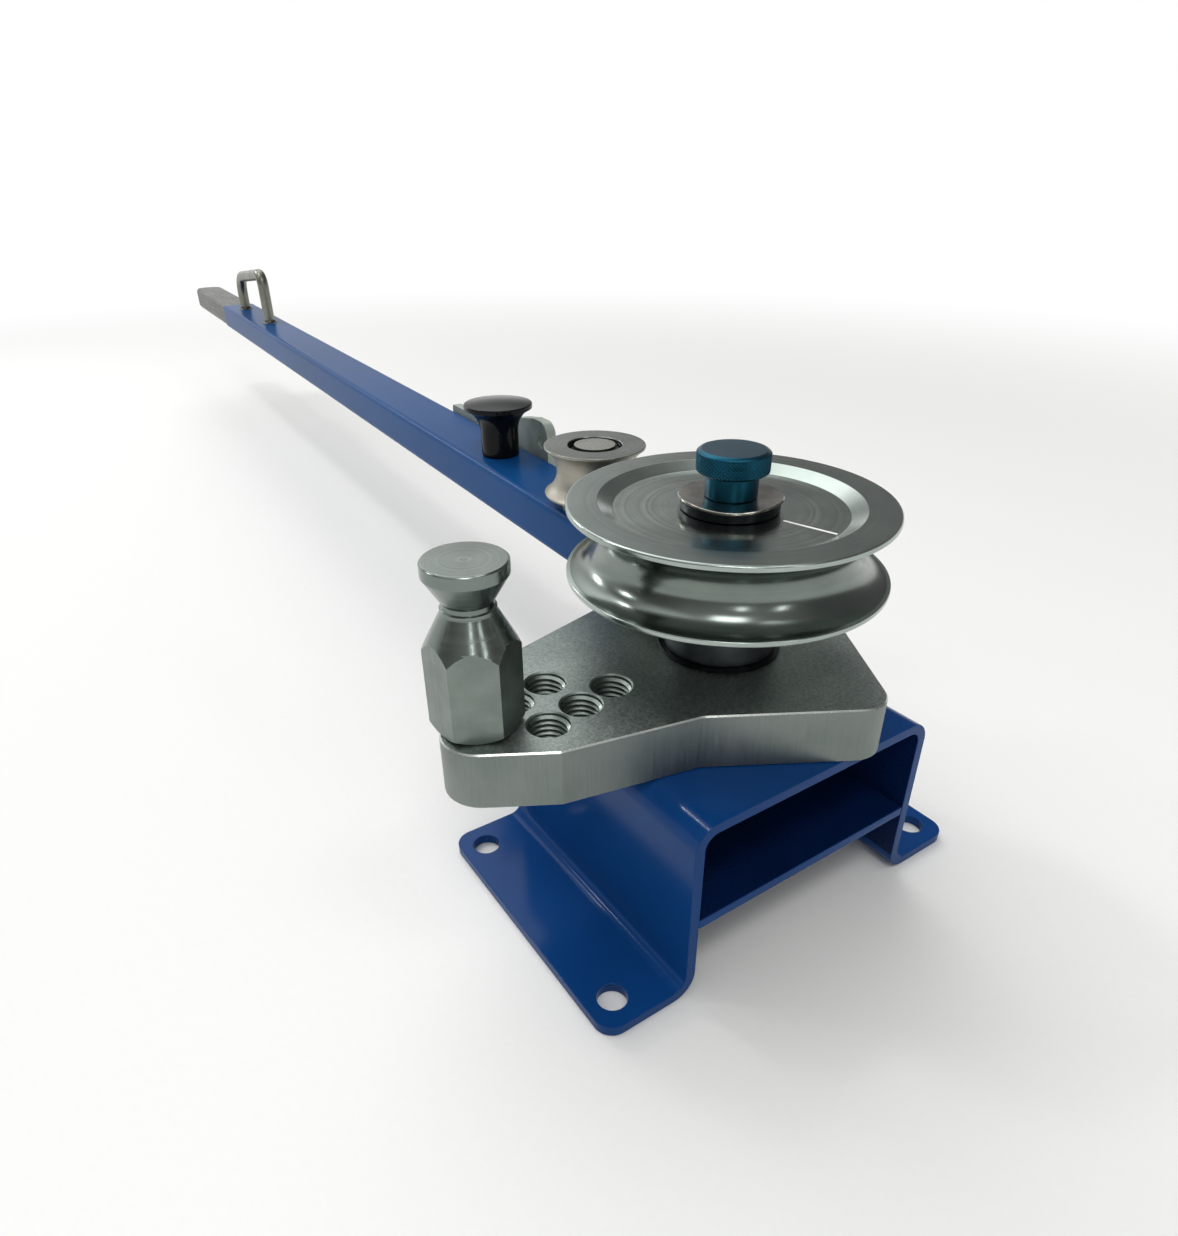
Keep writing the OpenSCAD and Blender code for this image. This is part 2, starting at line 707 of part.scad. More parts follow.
// Pin plug-welded through the arm, with a groove for the retaining ring
module roller_pin() {
    groove = roller_top - counterbore_depth + turn_gap;
    color("#9AA19C") at_roller() difference() {
        union() {
            translate([0, 0, arm_z]) cylinder(d = pin_foot_d, h = arm_h);
            translate([0, 0, arm_top]) cylinder(d = pin_d, h = roller_top - arm_top);
        }
        translate([0, 0, groove]) ring(pin_d / 2 + cut, pin_d / 2 - 0.7, ring_t);
    }
}

module roller_spacer() {
    color("#9AA19C") at_roller() translate([0, 0, arm_top])
        ring(spacer_r, pin_d / 2 + slide_fit, spacer_t);
}

// Split ring that keeps the roller on its pin
module retaining_ring() {
    inner = pin_d / 2 - 0.7;
    color("#33383A") at_roller() translate([0, 0, roller_top - counterbore_depth + turn_gap])
        difference() {
            ring(counterbore_r - 0.5, inner, ring_t);
            translate([inner - 2, -1.5, -cut]) cube([6, 3, ring_t + 2 * cut]);
        }
}

module follower_roller() {
    form_r = tube_d / 2;
    color("#7F8A86") at_roller() translate([0, 0, roller_z]) rotate_extrude() difference() {
        square([roller_r, roller_h]);
        translate([roller_r - roller_groove + form_r, roller_h / 2]) circle(form_r);
        translate([-cut, -cut]) square([roller_bush_r + screw_fit / 2 + cut, roller_h + 2 * cut]);
        translate([-cut, roller_h - counterbore_depth]) square([counterbore_r + cut, counterbore_depth + cut]);
    }
}

roller_bush_r = pin_d / 2 + 2;

module roller_bush() {
    color("#B08D57") at_roller() translate([0, 0, roller_z])
        ring(roller_bush_r, pin_d / 2 + run_fit, roller_h - counterbore_depth);
}

// Steel sleeve in the arm's top wall: guide for the pin below, spring chamber above
module plunger_body() {
    color("#6F7674") at_arm(plunger_at) translate([0, 0, body_z]) difference() {
        cylinder(r = body_r, h = cap_z - body_z);
        translate([0, 0, -cut]) cylinder(r = lock_r + run_fit, h = guide_h + 2 * cut);
        translate([0, 0, guide_h]) cylinder(r = chamber_r, h = chamber_l + cut);
    }
}

module plunger_cap() {
    color("#6F7674") at_arm(plunger_at) translate([0, 0, cap_z])
        ring(body_r, lock_r + run_fit, cap_h);
}

// Coil spring between the pin's collar and the cap, as one swept wire
spring_r = (chamber_r + lock_r) / 2;
spring_z0 = chamber_z + collar_h + wire_d / 2 + 0.1;
spring_z1 = cap_z - wire_d / 2 - 0.1;
spring_steps = 16;
spring_sides = 6;

module plunger_spring() {
    count = spring_coils * spring_steps;
    rings = [for (i = [0:count], k = [0:spring_sides - 1])
        let (turn = 360 * i / spring_steps,
             a = 360 * k / spring_sides,
             r = spring_r + wire_d / 2 * cos(a))
        [r * cos(turn), r * sin(turn),
         spring_z0 + (spring_z1 - spring_z0) * i / count + wire_d / 2 * sin(a)]];
    sides = [for (i = [0:count - 1], k = [0:spring_sides - 1])
        let (k2 = (k + 1) % spring_sides, a = i * spring_sides, b = a + spring_sides)
        each [[a + k, b + k2, a + k2], [a + k, b + k, b + k2]]];
    last = count * spring_sides;
    ends = [for (k = [1:spring_sides - 2]) each [[0, k, k + 1], [last, last + k + 1, last + k]]];
    color("#B5B9B6") at_arm(plunger_at) polyhedron(rings, concat(sides, ends));
}

// Mushroom knob: its neck slides over the plunger body and flares to a domed head
module plunger_knob() {
    rim_z = knob_top - dome_h - mushroom_rim_h;
    edge = 0.6;
    flare_turn = acos(1 - (mushroom_r - edge - neck_r) / flare_r);
    flare_z = rim_z - flare_r * sin(flare_turn);
    dome_edge = mushroom_r - 2 * edge;
    dome_r = (pow(dome_edge, 2) + pow(dome_h, 2)) / (2 * dome_h);
    dome_turn = asin(dome_edge / dome_r);
    color("#15191B") at_arm(plunger_at) difference() {
        rotate_extrude() polygon(concat(
            [[0, knob_bottom], [neck_r - edge, knob_bottom], [neck_r, knob_bottom + edge]],
            arc([neck_r + flare_r, flare_z], flare_r, 180, 180 - flare_turn, 6),
            [[mushroom_r, rim_z + edge], [mushroom_r, rim_z + mushroom_rim_h - 2 * edge]],
            arc([0, knob_top - dome_r], dome_r, 90 - dome_turn, 90, 4)));
        translate([0, 0, knob_bottom - cut]) cylinder(r = body_r + slide_fit, h = knob_cavity_z - knob_bottom + cut);
        translate([0, 0, knob_cavity_z - cut]) cylinder(r = lock_r + screw_fit / 2, h = pin_top_z - knob_cavity_z + cut);
    }
}

// Locking pin with the collar that the spring presses on
module plunger_pin() {
    color("#A3A8A5") at_arm(plunger_at) rotate_extrude() polygon([
        [0, pin_tip_z], [lock_r - 1, pin_tip_z], [lock_r, pin_tip_z + 1], [lock_r, chamber_z],
        [chamber_r - slide_fit, chamber_z], [chamber_r - slide_fit, chamber_z + collar_h],
        [lock_r - 0.5, chamber_z + collar_h], [lock_r - 0.5, cap_z - 1], [lock_r, cap_z - 0.5],
        [lock_r, pin_top_z], [0, pin_top_z]]);
}

// Form wheel: half-round groove for the tube and a recessed top face
module form_wheel() {
    e = wheel_edge_r;
    form_r = tube_d / 2;
    color("#7F8A86") at_pivot() translate([0, 0, wheel_z]) rotate_extrude() difference() {
        polygon(rounded([[0, 0], [wheel_r, 0], [wheel_r, wheel_h], [rim_inner_r, wheel_h],
            [rim_inner_r - recess_bevel, wheel_h - recess_depth], [0, wheel_h - recess_depth]],
            [0, e, e, 0.4, 0.6, 0], 4));
        translate([wheel_r, wheel_h / 2]) circle(form_r);
        translate([-cut, -cut]) square([bush_r + screw_fit / 2 + cut, wheel_h + 2 * cut]);
    }
}

module wheel_bush() {
    color("#B08D57") at_pivot() translate([0, 0, wheel_z])
        ring(bush_r, shaft_d / 2 + run_fit, wheel_h - recess_depth);
}

module clamp_washer() {
    color("#5A524C") at_pivot() translate([0, 0, clamp_washer_z])
        ring(clamp_washer_r, knob_screw_d / 2 + slide_fit, clamp_washer_t);
}

// Turned knob: chamfered head on a plain stem, bored for its screw
module clamp_knob() {
    top = knob_stem_h + knob_head_h;
    color("#1A4E60") at_pivot() translate([0, 0, knob_z]) difference() {
        rotate_extrude() polygon([[0, 0], [knob_stem_r - 0.5, 0], [knob_stem_r, 0.5],
            [knob_stem_r, knob_stem_h], [knob_r - 1.5, knob_stem_h], [knob_r, knob_stem_h + 1],
            [knob_r, top - 0.8], [knob_r - 0.8, top], [0, top]]);
        translate([0, 0, -cut]) cylinder(d = knob_screw_d + 2 * screw_fit, h = top - 4 + cut);
    }
}

module clamp_screw() {
    color("#8C918E") at_pivot() translate([0, 0, shaft_top - knob_screw_l])
        cylinder(d = knob_screw_d, h = knob_z - shaft_top + knob_screw_l + knob_stem_h + knob_head_h - 4.5);
}

base_bracket();
base_shelf();
stop_plate();
plate_washers();
plate_screws();
pivot_shaft();
foot_washer();
foot_nut();
low_thrust_washer();
thrust_collar();
stop_post();
arm_hub();
hub_bush();
top_thrust_washer();
arm_bar();
arm_tube();
arm_tang();
pull_handle();
side_cheek();
cheek_screws();
roller_pin();
roller_spacer();
retaining_ring();
plunger_body();
plunger_cap();
plunger_spring();
follower_roller();
roller_bush();
plunger_knob();
plunger_pin();
form_wheel();
wheel_bush();
clamp_washer();
clamp_knob();
clamp_screw();
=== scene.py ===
"""Dresses a bench-mounted lever tube bender: finishes, threads, knurl, welds, studio and camera.

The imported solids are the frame. Solids whose shape is right keep it and get a finish; the rest are
stood in for by finer pieces that ride on the same bodies. Lengths are in metres.
"""

import logging
import math
from collections.abc import Callable, Iterable, Sequence
from dataclasses import dataclass
from enum import Enum
from functools import cache

import bmesh
import bpy
from mathutils import Matrix, Vector


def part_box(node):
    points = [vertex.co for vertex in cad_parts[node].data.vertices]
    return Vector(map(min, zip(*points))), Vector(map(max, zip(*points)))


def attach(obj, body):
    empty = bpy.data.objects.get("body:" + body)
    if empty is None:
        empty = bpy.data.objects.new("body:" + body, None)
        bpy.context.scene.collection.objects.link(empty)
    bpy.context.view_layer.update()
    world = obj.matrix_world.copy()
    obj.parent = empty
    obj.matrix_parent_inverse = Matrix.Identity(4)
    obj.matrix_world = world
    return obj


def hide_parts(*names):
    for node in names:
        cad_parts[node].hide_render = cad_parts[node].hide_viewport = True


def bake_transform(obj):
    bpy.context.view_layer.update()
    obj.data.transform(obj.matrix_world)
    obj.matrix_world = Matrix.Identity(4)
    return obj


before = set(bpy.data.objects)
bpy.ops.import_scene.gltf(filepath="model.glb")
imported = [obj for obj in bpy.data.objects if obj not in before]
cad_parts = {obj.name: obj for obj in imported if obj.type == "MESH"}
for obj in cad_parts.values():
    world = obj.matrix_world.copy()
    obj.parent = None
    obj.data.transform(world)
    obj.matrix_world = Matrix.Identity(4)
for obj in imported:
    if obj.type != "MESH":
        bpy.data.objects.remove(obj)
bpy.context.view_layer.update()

LOG = logging.getLogger("tube_bender")
MM = 0.001
PHOTO_SIZE = (1178, 1236)
Point2 = tuple[float, float]


class Body(Enum):
    """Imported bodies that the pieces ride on."""

    BASE = "base"
    ARM = "arm"
    ROLLER = "roller"
    PLUNGER = "plunger"
    DIE = "die"
    CLAMP_LIFT = "clamp_lift"
    CLAMP_TURN = "clamp_turn"


def linear(colour: str) -> tuple[float, float, float, float]:
    """Turns an sRGB hex colour to linear light.

    Args:
        colour: Six hex digits after a hash.

    Returns:
        Red, green and blue in linear light, and an alpha of 1.
    """
    steps = [int(colour[i:i + 2], 16) / 255 for i in (1, 3, 5)]
    red, green, blue = (c / 12.92 if c <= 0.04045 else ((c + 0.055) / 1.055) ** 2.4 for c in steps)
    return red, green, blue, 1.0


def add_node(
    tree: bpy.types.NodeTree, kind: str, inputs: dict[str | int, object] | None = None, **settings: object
) -> bpy.types.Node:
    """Adds a shader node with its settings, values and links.

    Args:
        tree: Node tree that takes the node.
        kind: Blender's name for the node's type, without its ShaderNode prefix.
        inputs: Value or output socket for each named or numbered input.
        **settings: Properties of the node itself.

    Returns:
        The new node.
    """
    node = tree.nodes.new("ShaderNode" + kind)
    for name, value in settings.items():
        setattr(node, name, value)
    for key, value in (inputs or {}).items():
        if isinstance(value, bpy.types.NodeSocket):
            tree.links.new(value, node.inputs[key])
        else:
            node.inputs[key].default_value = value
    return node


def put_in_scene(name: str, data: bpy.types.ID) -> bpy.types.Object:
    """Puts a mesh, a light or a camera in the scene.

    Args:
        name: Name of the new object.
        data: Its mesh, light or camera.

    Returns:
        The new object.
    """
    made = bpy.data.objects.new(name, data)
    bpy.context.scene.collection.objects.link(made)
    return made


def direction(heading: float, rise: float) -> Vector:
    """Turns two angles to a direction.

    Args:
        heading: Heading from +Y towards +X, in degrees.
        rise: Angle above the horizon, in degrees.

    Returns:
        The direction, as a vector whose length is 1.
    """
    turn, lift = math.radians(heading), math.radians(rise)
    return Vector((math.sin(turn) * math.cos(lift), math.cos(turn) * math.cos(lift), math.sin(lift)))


# Finishes

# Values of a noise between which a colour drifts, and between which marks change the roughness.
DRIFT = (0.35, 0.65)
MARKS = (0.25, 0.75)


@dataclass(frozen=True)
class Finish:
    """A real surface: what it is made of and how it was made.

    Attributes:
        name: Name of the material and the process.
        colour: Main colour, as an sRGB hex value.
        shade: Second colour that the surface drifts to.
        roughness: Mean roughness.
        metallic: 1 for a bare or plated metal.
        patch: Width of the colour drift, in metres.
        grain: Width of the finest mark, in metres.
        depth: Height of that mark, in metres.
        specular: Level of the surface reflection of what isn't metal.
        anisotropy: How far a highlight is drawn out across turned rings.
        swing: Share by which the roughness swings about its mean.
    """

    name: str
    colour: str
    shade: str
    roughness: float
    metallic: float = 0.0
    patch: float = 18 * MM
    grain: float = 0.6 * MM
    depth: float = 0.01 * MM
    specular: float = 0.5
    anisotropy: float = 0.0
    swing: float = 0.2

    def material(self) -> bpy.types.Material:
        """Builds the material.

        Returns:
            A material with the finish's colour drift, roughness and marks.
        """
        made = bpy.data.materials.new(self.name)
        made.use_nodes = True
        tree = made.node_tree
        shader = tree.nodes["Principled BSDF"]
        place = add_node(tree, "TexCoord").outputs["Object"]
        drift = add_node(tree, "TexNoise", {"Vector": place, "Scale": 1 / self.patch, "Detail": 4.0})
        spread = add_node(tree, "MapRange", {"Value": drift.outputs["Fac"], "From Min": DRIFT[0],
                                             "From Max": DRIFT[1]})
        blend = add_node(tree, "Mix", {0: spread.outputs["Result"], 6: linear(self.colour), 7: linear(self.shade)},
                         data_type="RGBA")
        marks = self.marks(tree, place)
        rough = add_node(tree, "MapRange", {"Value": marks, "From Min": MARKS[0], "From Max": MARKS[1],
                                            "To Min": self.roughness * (1 - self.swing),
                                            "To Max": self.roughness * (1 + self.swing)})
        bump = add_node(tree, "Bump", {"Height": marks, "Distance": self.depth, "Strength": 1.0})
        tree.links.new(self.tint(tree, place, blend.outputs[2]), shader.inputs["Base Color"])
        tree.links.new(rough.outputs["Result"], shader.inputs["Roughness"])
        tree.links.new(bump.outputs["Normal"], shader.inputs["Normal"])
        shader.inputs["Metallic"].default_value = self.metallic
        shader.inputs["Specular IOR Level"].default_value = self.specular
        if self.anisotropy:
            shader.inputs["Anisotropic"].default_value = self.anisotropy
            tangent = add_node(tree, "Tangent", direction_type="RADIAL", axis="Z")
            tree.links.new(tangent.outputs[0], shader.inputs["Tangent"])
        return made

    def marks(self, tree: bpy.types.NodeTree, place: bpy.types.NodeSocket) -> bpy.types.NodeSocket:
        """Draws the fine marks.

        Args:
            tree: Material's node tree.
            place: Position on the object.

        Returns:
            A height from 0 to 1.
        """
        return add_node(tree, "TexNoise", {"Vector": place, "Scale": 1 / self.grain, "Detail": 2.0}).outputs["Fac"]

    def tint(self, tree: bpy.types.NodeTree, place: bpy.types.NodeSocket,
             colour: bpy.types.NodeSocket) -> bpy.types.NodeSocket:
        """Returns the colour as it is; a finish with lines or wear changes it."""
        return colour


@dataclass(frozen=True)
class SawnZinc(Finish):
    """Zinc over a blasted plate: a sandy top, and the saw's upright lines on its sides, which are darkened as
    painted shade.

    Attributes:
        level: Shares of the normal between which a surface turns from standing to flat.
        stretch: Scale of the saw lines along their length.
        contrast: Share by which marks change the tone, on standing and on flat faces.
        crests: Values of the marks at a full pit and at a full crest.
        tone: Painted shade of standing faces: their tone, where 1 is that of flat ones.
    """

    level: Point2 = (0.6, 0.9)
    stretch: float = 0.03
    contrast: Point2 = (0.09, 0.34)
    crests: Point2 = (0.3, 0.7)
    tone: float = 0.8

    def marks(self, tree: bpy.types.NodeTree, place: bpy.types.NodeSocket) -> bpy.types.NodeSocket:
        """Draws sand where the surface lies flat, and upright lines where it stands.

        Args:
            tree: Material's node tree.
            place: Position on the object.

        Returns:
            A height from 0 to 1.
        """
        upright = add_node(tree, "Mapping", {"Vector": place, "Scale": (1.0, 1.0, self.stretch)}).outputs["Vector"]
        sand, lines = (add_node(tree, "TexNoise", {"Vector": where, "Scale": 1 / grain, "Detail": 3.0,
                                                   "Roughness": 0.7}).outputs["Fac"]
                       for where, grain in ((place, self.grain), (upright, self.grain / 2)))
        return add_node(tree, "Mix", {0: self._flat(tree), 2: lines, 3: sand}).outputs[0]

    def _flat(self, tree: bpy.types.NodeTree) -> bpy.types.NodeSocket:
        """Tells flat from standing surfaces.

        Args:
            tree: Material's node tree.

        Returns:
            1 where the piece's surface lies flat and 0 where it stands.
        """
        facing = add_node(tree, "SeparateXYZ", {0: add_node(tree, "TexCoord").outputs["Normal"]}).outputs["Z"]
        size = add_node(tree, "Math", {0: facing}, operation="ABSOLUTE").outputs[0]
        return add_node(tree, "MapRange", {"Value": size, "From Min": self.level[0],
                                           "From Max": self.level[1]}).outputs["Result"]

    def tint(self, tree: bpy.types.NodeTree, place: bpy.types.NodeSocket,
             colour: bpy.types.NodeSocket) -> bpy.types.NodeSocket:
        """Darkens the pits of the sand and, less, the valleys of the saw lines, lightens their crests, and darkens
        standing faces as painted shade.

        Args:
            tree: Material's node tree.
            place: Position on the object.
            colour: Colour of the plain surface.

        Returns:
            The colour with its pits, crests and painted shade.
        """
        contrast = add_node(tree, "MapRange", {"Value": self._flat(tree), "To Min": self.contrast[0],
                                               "To Max": self.contrast[1]})
        marks = add_node(tree, "MapRange", {"Value": self.marks(tree, place), "From Min": self.crests[0],
                                            "From Max": self.crests[1], "To Min": -1.0, "To Max": 1.0})
        # Standing faces are darker than flat ones: painted shade.
        plain = add_node(tree, "MapRange", {"Value": self._flat(tree), "To Min": self.tone, "To Max": 1.0})
        tone = add_node(tree, "Math", {0: marks.outputs["Result"], 1: contrast.outputs["Result"],
                                       2: plain.outputs["Result"]}, operation="MULTIPLY_ADD").outputs[0]
        return add_node(tree, "VectorMath", {0: colour, 1: tone}, operation="MULTIPLY").outputs[0]


@dataclass(frozen=True)
class DrawnSteel(Finish):
    """Steel drawn or rolled: fine lines along its length.

    Attributes:
        heading: Heading of the lines from +X, in degrees, or None for upright lines.
        stretch: Scale of the lines along their length.
    """

    heading: float | None = None
    stretch: float = 0.02

    def marks(self, tree: bpy.types.NodeTree, place: bpy.types.NodeSocket) -> bpy.types.NodeSocket:
        """Stretches the grain along the bar.

        Args:
            tree: Material's node tree.
            place: Position on the object.

        Returns:
            A height from 0 to 1.
        """
        squeeze = (1.0, 1.0, self.stretch) if self.heading is None else (self.stretch, 1.0, 1.0)
        turned_back = add_node(tree, "VectorRotate", {"Vector": place, "Angle": -math.radians(self.heading or 0.0)},
                               rotation_type="Z_AXIS").outputs[0]
        along = add_node(tree, "Mapping", {"Vector": turned_back, "Scale": squeeze}).outputs["Vector"]
        return add_node(tree, "TexNoise", {"Vector": along, "Scale": 1 / self.grain, "Detail": 3.0}).outputs["Fac"]


@dataclass(frozen=True)
class TurnedSteel(Finish):
    """Steel faced and turned on a lathe, then zinc plated: rings round its axis.

    Attributes:
        centre: Place of the axis across and along the base.
        scribe: Heading in degrees, inner and outer radius of a scribed line, or None.
        scribe_colour: Colour of the line's torn metal, as an sRGB hex value.
        scribe_roughness: Its roughness.
        scribe_half: Half the line's width where it is full and where it ends.
        lead: Share of the height that counts as radius, so that rings run on down a side.
    """

    centre: Point2 = (0.0, 0.0)
    scribe: tuple[float, float, float] | None = None
    scribe_colour: str = "#F4F6F2"
    scribe_roughness: float = 0.75
    scribe_half: Point2 = (0.4 * MM, 0.7 * MM)
    lead: float = 0.8

    def _offset(self, tree: bpy.types.NodeTree, place: bpy.types.NodeSocket) -> bpy.types.NodeSocket:
        """Returns the position as seen from the axis."""
        return add_node(tree, "VectorMath", {0: place, 1: (*self.centre, 0.0)}, operation="SUBTRACT").outputs[0]

    def marks(self, tree: bpy.types.NodeTree, place: bpy.types.NodeSocket) -> bpy.types.NodeSocket:
        """Draws uneven rings from the distance to the axis and the height.

        Args:
            tree: Material's node tree.
            place: Position on the object.

        Returns:
            A height from 0 to 1.
        """
        offset = self._offset(tree, place)
        flat = add_node(tree, "VectorMath", {0: offset, 1: (1.0, 1.0, 0.0)}, operation="MULTIPLY")
        radius = add_node(tree, "VectorMath", {0: flat.outputs[0]}, operation="LENGTH").outputs["Value"]
        height = add_node(tree, "SeparateXYZ", {0: offset}).outputs["Z"]
        path = add_node(tree, "Math", {0: height, 1: self.lead, 2: radius}, operation="MULTIPLY_ADD").outputs[0]
        rings = add_node(tree, "TexNoise", {"W": path, "Scale": 1 / self.grain, "Detail": 3.0, "Roughness": 0.65},
                         noise_dimensions="1D")
        return rings.outputs["Fac"]

    def material(self) -> bpy.types.Material:
        """Builds the material, rough along the scribed line so that the line scatters light.

        Returns:
            A material with rings and, where the piece has one, the scribed line.
        """
        made = super().material()
        if self.scribe:
            tree = made.node_tree
            rough = tree.nodes["Principled BSDF"].inputs["Roughness"]
            line = self._line(tree, add_node(tree, "TexCoord").outputs["Object"])
            mixed = add_node(tree, "Mix", {0: line, 2: rough.links[0].from_socket, 3: self.scribe_roughness})
            tree.links.new(mixed.outputs[0], rough)
        return made

    def _line(self, tree: bpy.types.NodeTree, place: bpy.types.NodeSocket) -> bpy.types.NodeSocket:
        """Tells the scribed line from what lies beside it.

        Args:
            tree: Material's node tree.
            place: Position on the object.

        Returns:
            1 on the line and 0 beside it.
        """
        heading, inner, outer = self.scribe
        turned_back = add_node(tree, "VectorRotate",
                               {"Vector": self._offset(tree, place), "Angle": -math.radians(heading)},
                               rotation_type="Z_AXIS")
        part = add_node(tree, "SeparateXYZ", {0: turned_back.outputs[0]})
        beside = add_node(tree, "Math", {0: part.outputs["Y"]}, operation="ABSOLUTE").outputs[0]
        near = add_node(tree, "MapRange", {"Value": beside, "From Min": self.scribe_half[0],
                                           "From Max": self.scribe_half[1], "To Min": 1.0,
                                           "To Max": 0.0}).outputs["Result"]
        middle, half = (inner + outer) / 2, (outer - inner) / 2
        span = add_node(tree, "Math", {0: part.outputs["X"], 1: middle, 2: half}, operation="COMPARE").outputs[0]
        return add_node(tree, "Math", {0: near, 1: span}, operation="MULTIPLY").outputs[0]

    def tint(self, tree: bpy.types.NodeTree, place: bpy.types.NodeSocket,
             colour: bpy.types.NodeSocket) -> bpy.types.NodeSocket:
        """Draws the scribed line, where the piece has one.

        Args:
            tree: Material's node tree.
            place: Position on the object.
            colour: Colour of the plain surface.

        Returns:
            The colour with the line on it.
        """
        if self.scribe is None:
            return colour
        line = self._line(tree, place)
        return add_node(tree, "Mix", {0: line, 6: colour, 7: linear(self.scribe_colour)},
                        data_type="RGBA").outputs[2]


@cache
def dressed(finish: Finish) -> bpy.types.Material:
    """Builds a finish's material once and hands the same one out afterwards."""
    return finish.material()


# Baked polyester powder: deep royal blue and wet-looking, with a faint orange peel of 1.5 mm. Its reflection
# is weaker than a typical coat's, so that the colour stays as deep as the real one's in a white studio.
BLUE_POWDER = Finish("blue_powder_coat", "#0D3B73", "#0F407C", 0.15, patch=60 * MM, grain=1.5 * MM,
                     depth=0.006 * MM, specular=0.12)
# The same powder inside the channel, painted darker there as painted shade, where the channel's inner faces and the
# underside of its top lie in shadow.
BLUE_POWDER_PAINTED_SHADE = Finish("blue_powder_coat_painted_shade", "#061B40", "#081F49", 0.3, patch=30 * MM, grain=1.5 * MM,
                          depth=0.008 * MM, specular=0.1)
# The same powder on the arm, laid thinner on rolled tube: a lighter blue with a softer gloss.
BLUE_POWDER_TUBE = Finish("blue_powder_coat_tube", "#0E4277", "#10477F", 0.3, patch=90 * MM, grain=4 * MM,
                          depth=0.0004 * MM, specular=0.05, swing=0.04)
# Bright zinc on a blasted and sawn plate: satin grey with a green cast. Real grit is 0.2 mm wide, too fine
# to show, so it is drawn at 0.9 mm.
# Its sides are drawn darker than its top: painted shade.
PLATE_ZINC = SawnZinc("bright_zinc_sawn_plate", "#929A96", "#858E8A", 0.46, 1.0, patch=25 * MM, grain=0.9 * MM,
                      depth=0.04 * MM)
# Bright zinc on the plate's milled chamfers: smoother than its faces, and much lighter as a painted highlight along
# the plate's edges.
CHAMFER_ZINC_HIGHLIGHT = Finish("bright_zinc_chamfer_painted_highlight", "#D3D8D2", "#C4CAC4", 0.25, 1.0, patch=10 * MM,
                      depth=0.003 * MM)
# Bright zinc on pressed or sheared steel: the same metal with an even, fine grain.
SMOOTH_ZINC = Finish("bright_zinc_smooth", "#939C96", "#848E89", 0.36, 1.0, patch=12 * MM, grain=0.8 * MM)
# Machined steel of the hub, oiled: a darker grey than the plated parts.
OILED_STEEL = Finish("oiled_machined_steel", "#62676A", "#53585A", 0.34, 1.0, patch=9 * MM, grain=0.8 * MM)
# Zinc on a bare hexagon bar: faint upright lines from drawing, and cloudy patches.
HEXAGON_ZINC = DrawnSteel("zinc_drawn_hexagon", "#828A85", "#747D78", 0.36, 1.0, patch=9 * MM, grain=0.8 * MM,
                          depth=0.006 * MM)
# Bright drawn round bar: smooth, with a warm white gloss.
BRIGHT_BAR = Finish("bright_drawn_bar", "#A9AAA2", "#97988F", 0.27, 1.0, patch=20 * MM, grain=0.5 * MM,
                    depth=0.004 * MM)
# Mill-finish flat bar, only oiled: darker olive grey, with a dull streaky skin along the arm.
MILL_STEEL = DrawnSteel("mill_finish_steel", "#595A53", "#474943", 0.4, 1.0, patch=14 * MM, grain=1.0 * MM,
                        depth=0.015 * MM, heading=87.1)
# Cold-drawn bar of the handle, handled and unplated: a brownish grey, half dull.
HANDLE_STEEL = DrawnSteel("cold_drawn_handle_bar", "#84857B", "#6E6F66", 0.36, 1.0, patch=16 * MM, grain=0.9 * MM,
                          depth=0.006 * MM)
# Zinc flake baked on sheet: pale grey-green and matt, only half metallic to the eye.
ZINC_FLAKE = Finish("zinc_flake_coated_sheet", "#A3ADA3", "#939D94", 0.5, 0.45, patch=9 * MM, grain=0.8 * MM)
# Black oxide on turned or headed steel: near black with an oily sheen.
BLACK_OXIDE = Finish("black_oxide_steel", "#2B2F31", "#212426", 0.34, 1.0, patch=6 * MM)
# Cast bearing bronze, bored and faced: warm, half dull.
BEARING_BRONZE = Finish("turned_bearing_bronze", "#A98654", "#957446", 0.34, 1.0, patch=6 * MM)
# Tempered spring steel, oil blackened: brown-grey, smooth enough to mirror what stands on it.
SPRING_STEEL = Finish("oil_tempered_spring_steel", "#A3A199", "#84817A", 0.22, 1.0, patch=7 * MM,
                      depth=0.004 * MM)
# Injection-moulded black phenolic: polished in the mould, with a deep gloss.
BLACK_PHENOLIC = Finish("moulded_black_phenolic", "#080A0D", "#0B0E11", 0.16, patch=9 * MM, grain=0.9 * MM,
                        depth=0.003 * MM, specular=0.14)
# Aluminium turned, knurled and dyed dark teal in anodising: a soft metal gloss through a coloured skin.
TEAL_ANODISED = Finish("teal_anodised_aluminium", "#1B4F64", "#184759", 0.34, 1.0, patch=8 * MM, grain=0.4 * MM,
                       depth=0.006 * MM)


# Mesh tools

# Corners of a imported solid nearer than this, in metres, are one corner.
SAME_CORNER = 1e-6
# Points of a turned profile nearer than this, in metres, lie on its axis.
ON_AXIS = 1e-7
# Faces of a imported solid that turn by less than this, in degrees, are one flat face.
FLAT_TURN = 0.4
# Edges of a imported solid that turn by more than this, in degrees, are broken.
SHARP_TURN = 30.0
# Faces of a new piece that turn by less than this, in degrees, shade as one curve.
CURVE_TURN = 35.0


@dataclass(frozen=True)
class Band:
    """Stretch of a turned profile that has one finish.

    Attributes:
        points: Radius and height of each point, in metres.
        finish: Surface from the first point to the next band's first.
    """

    points: Sequence[Point2]
    finish: Finish


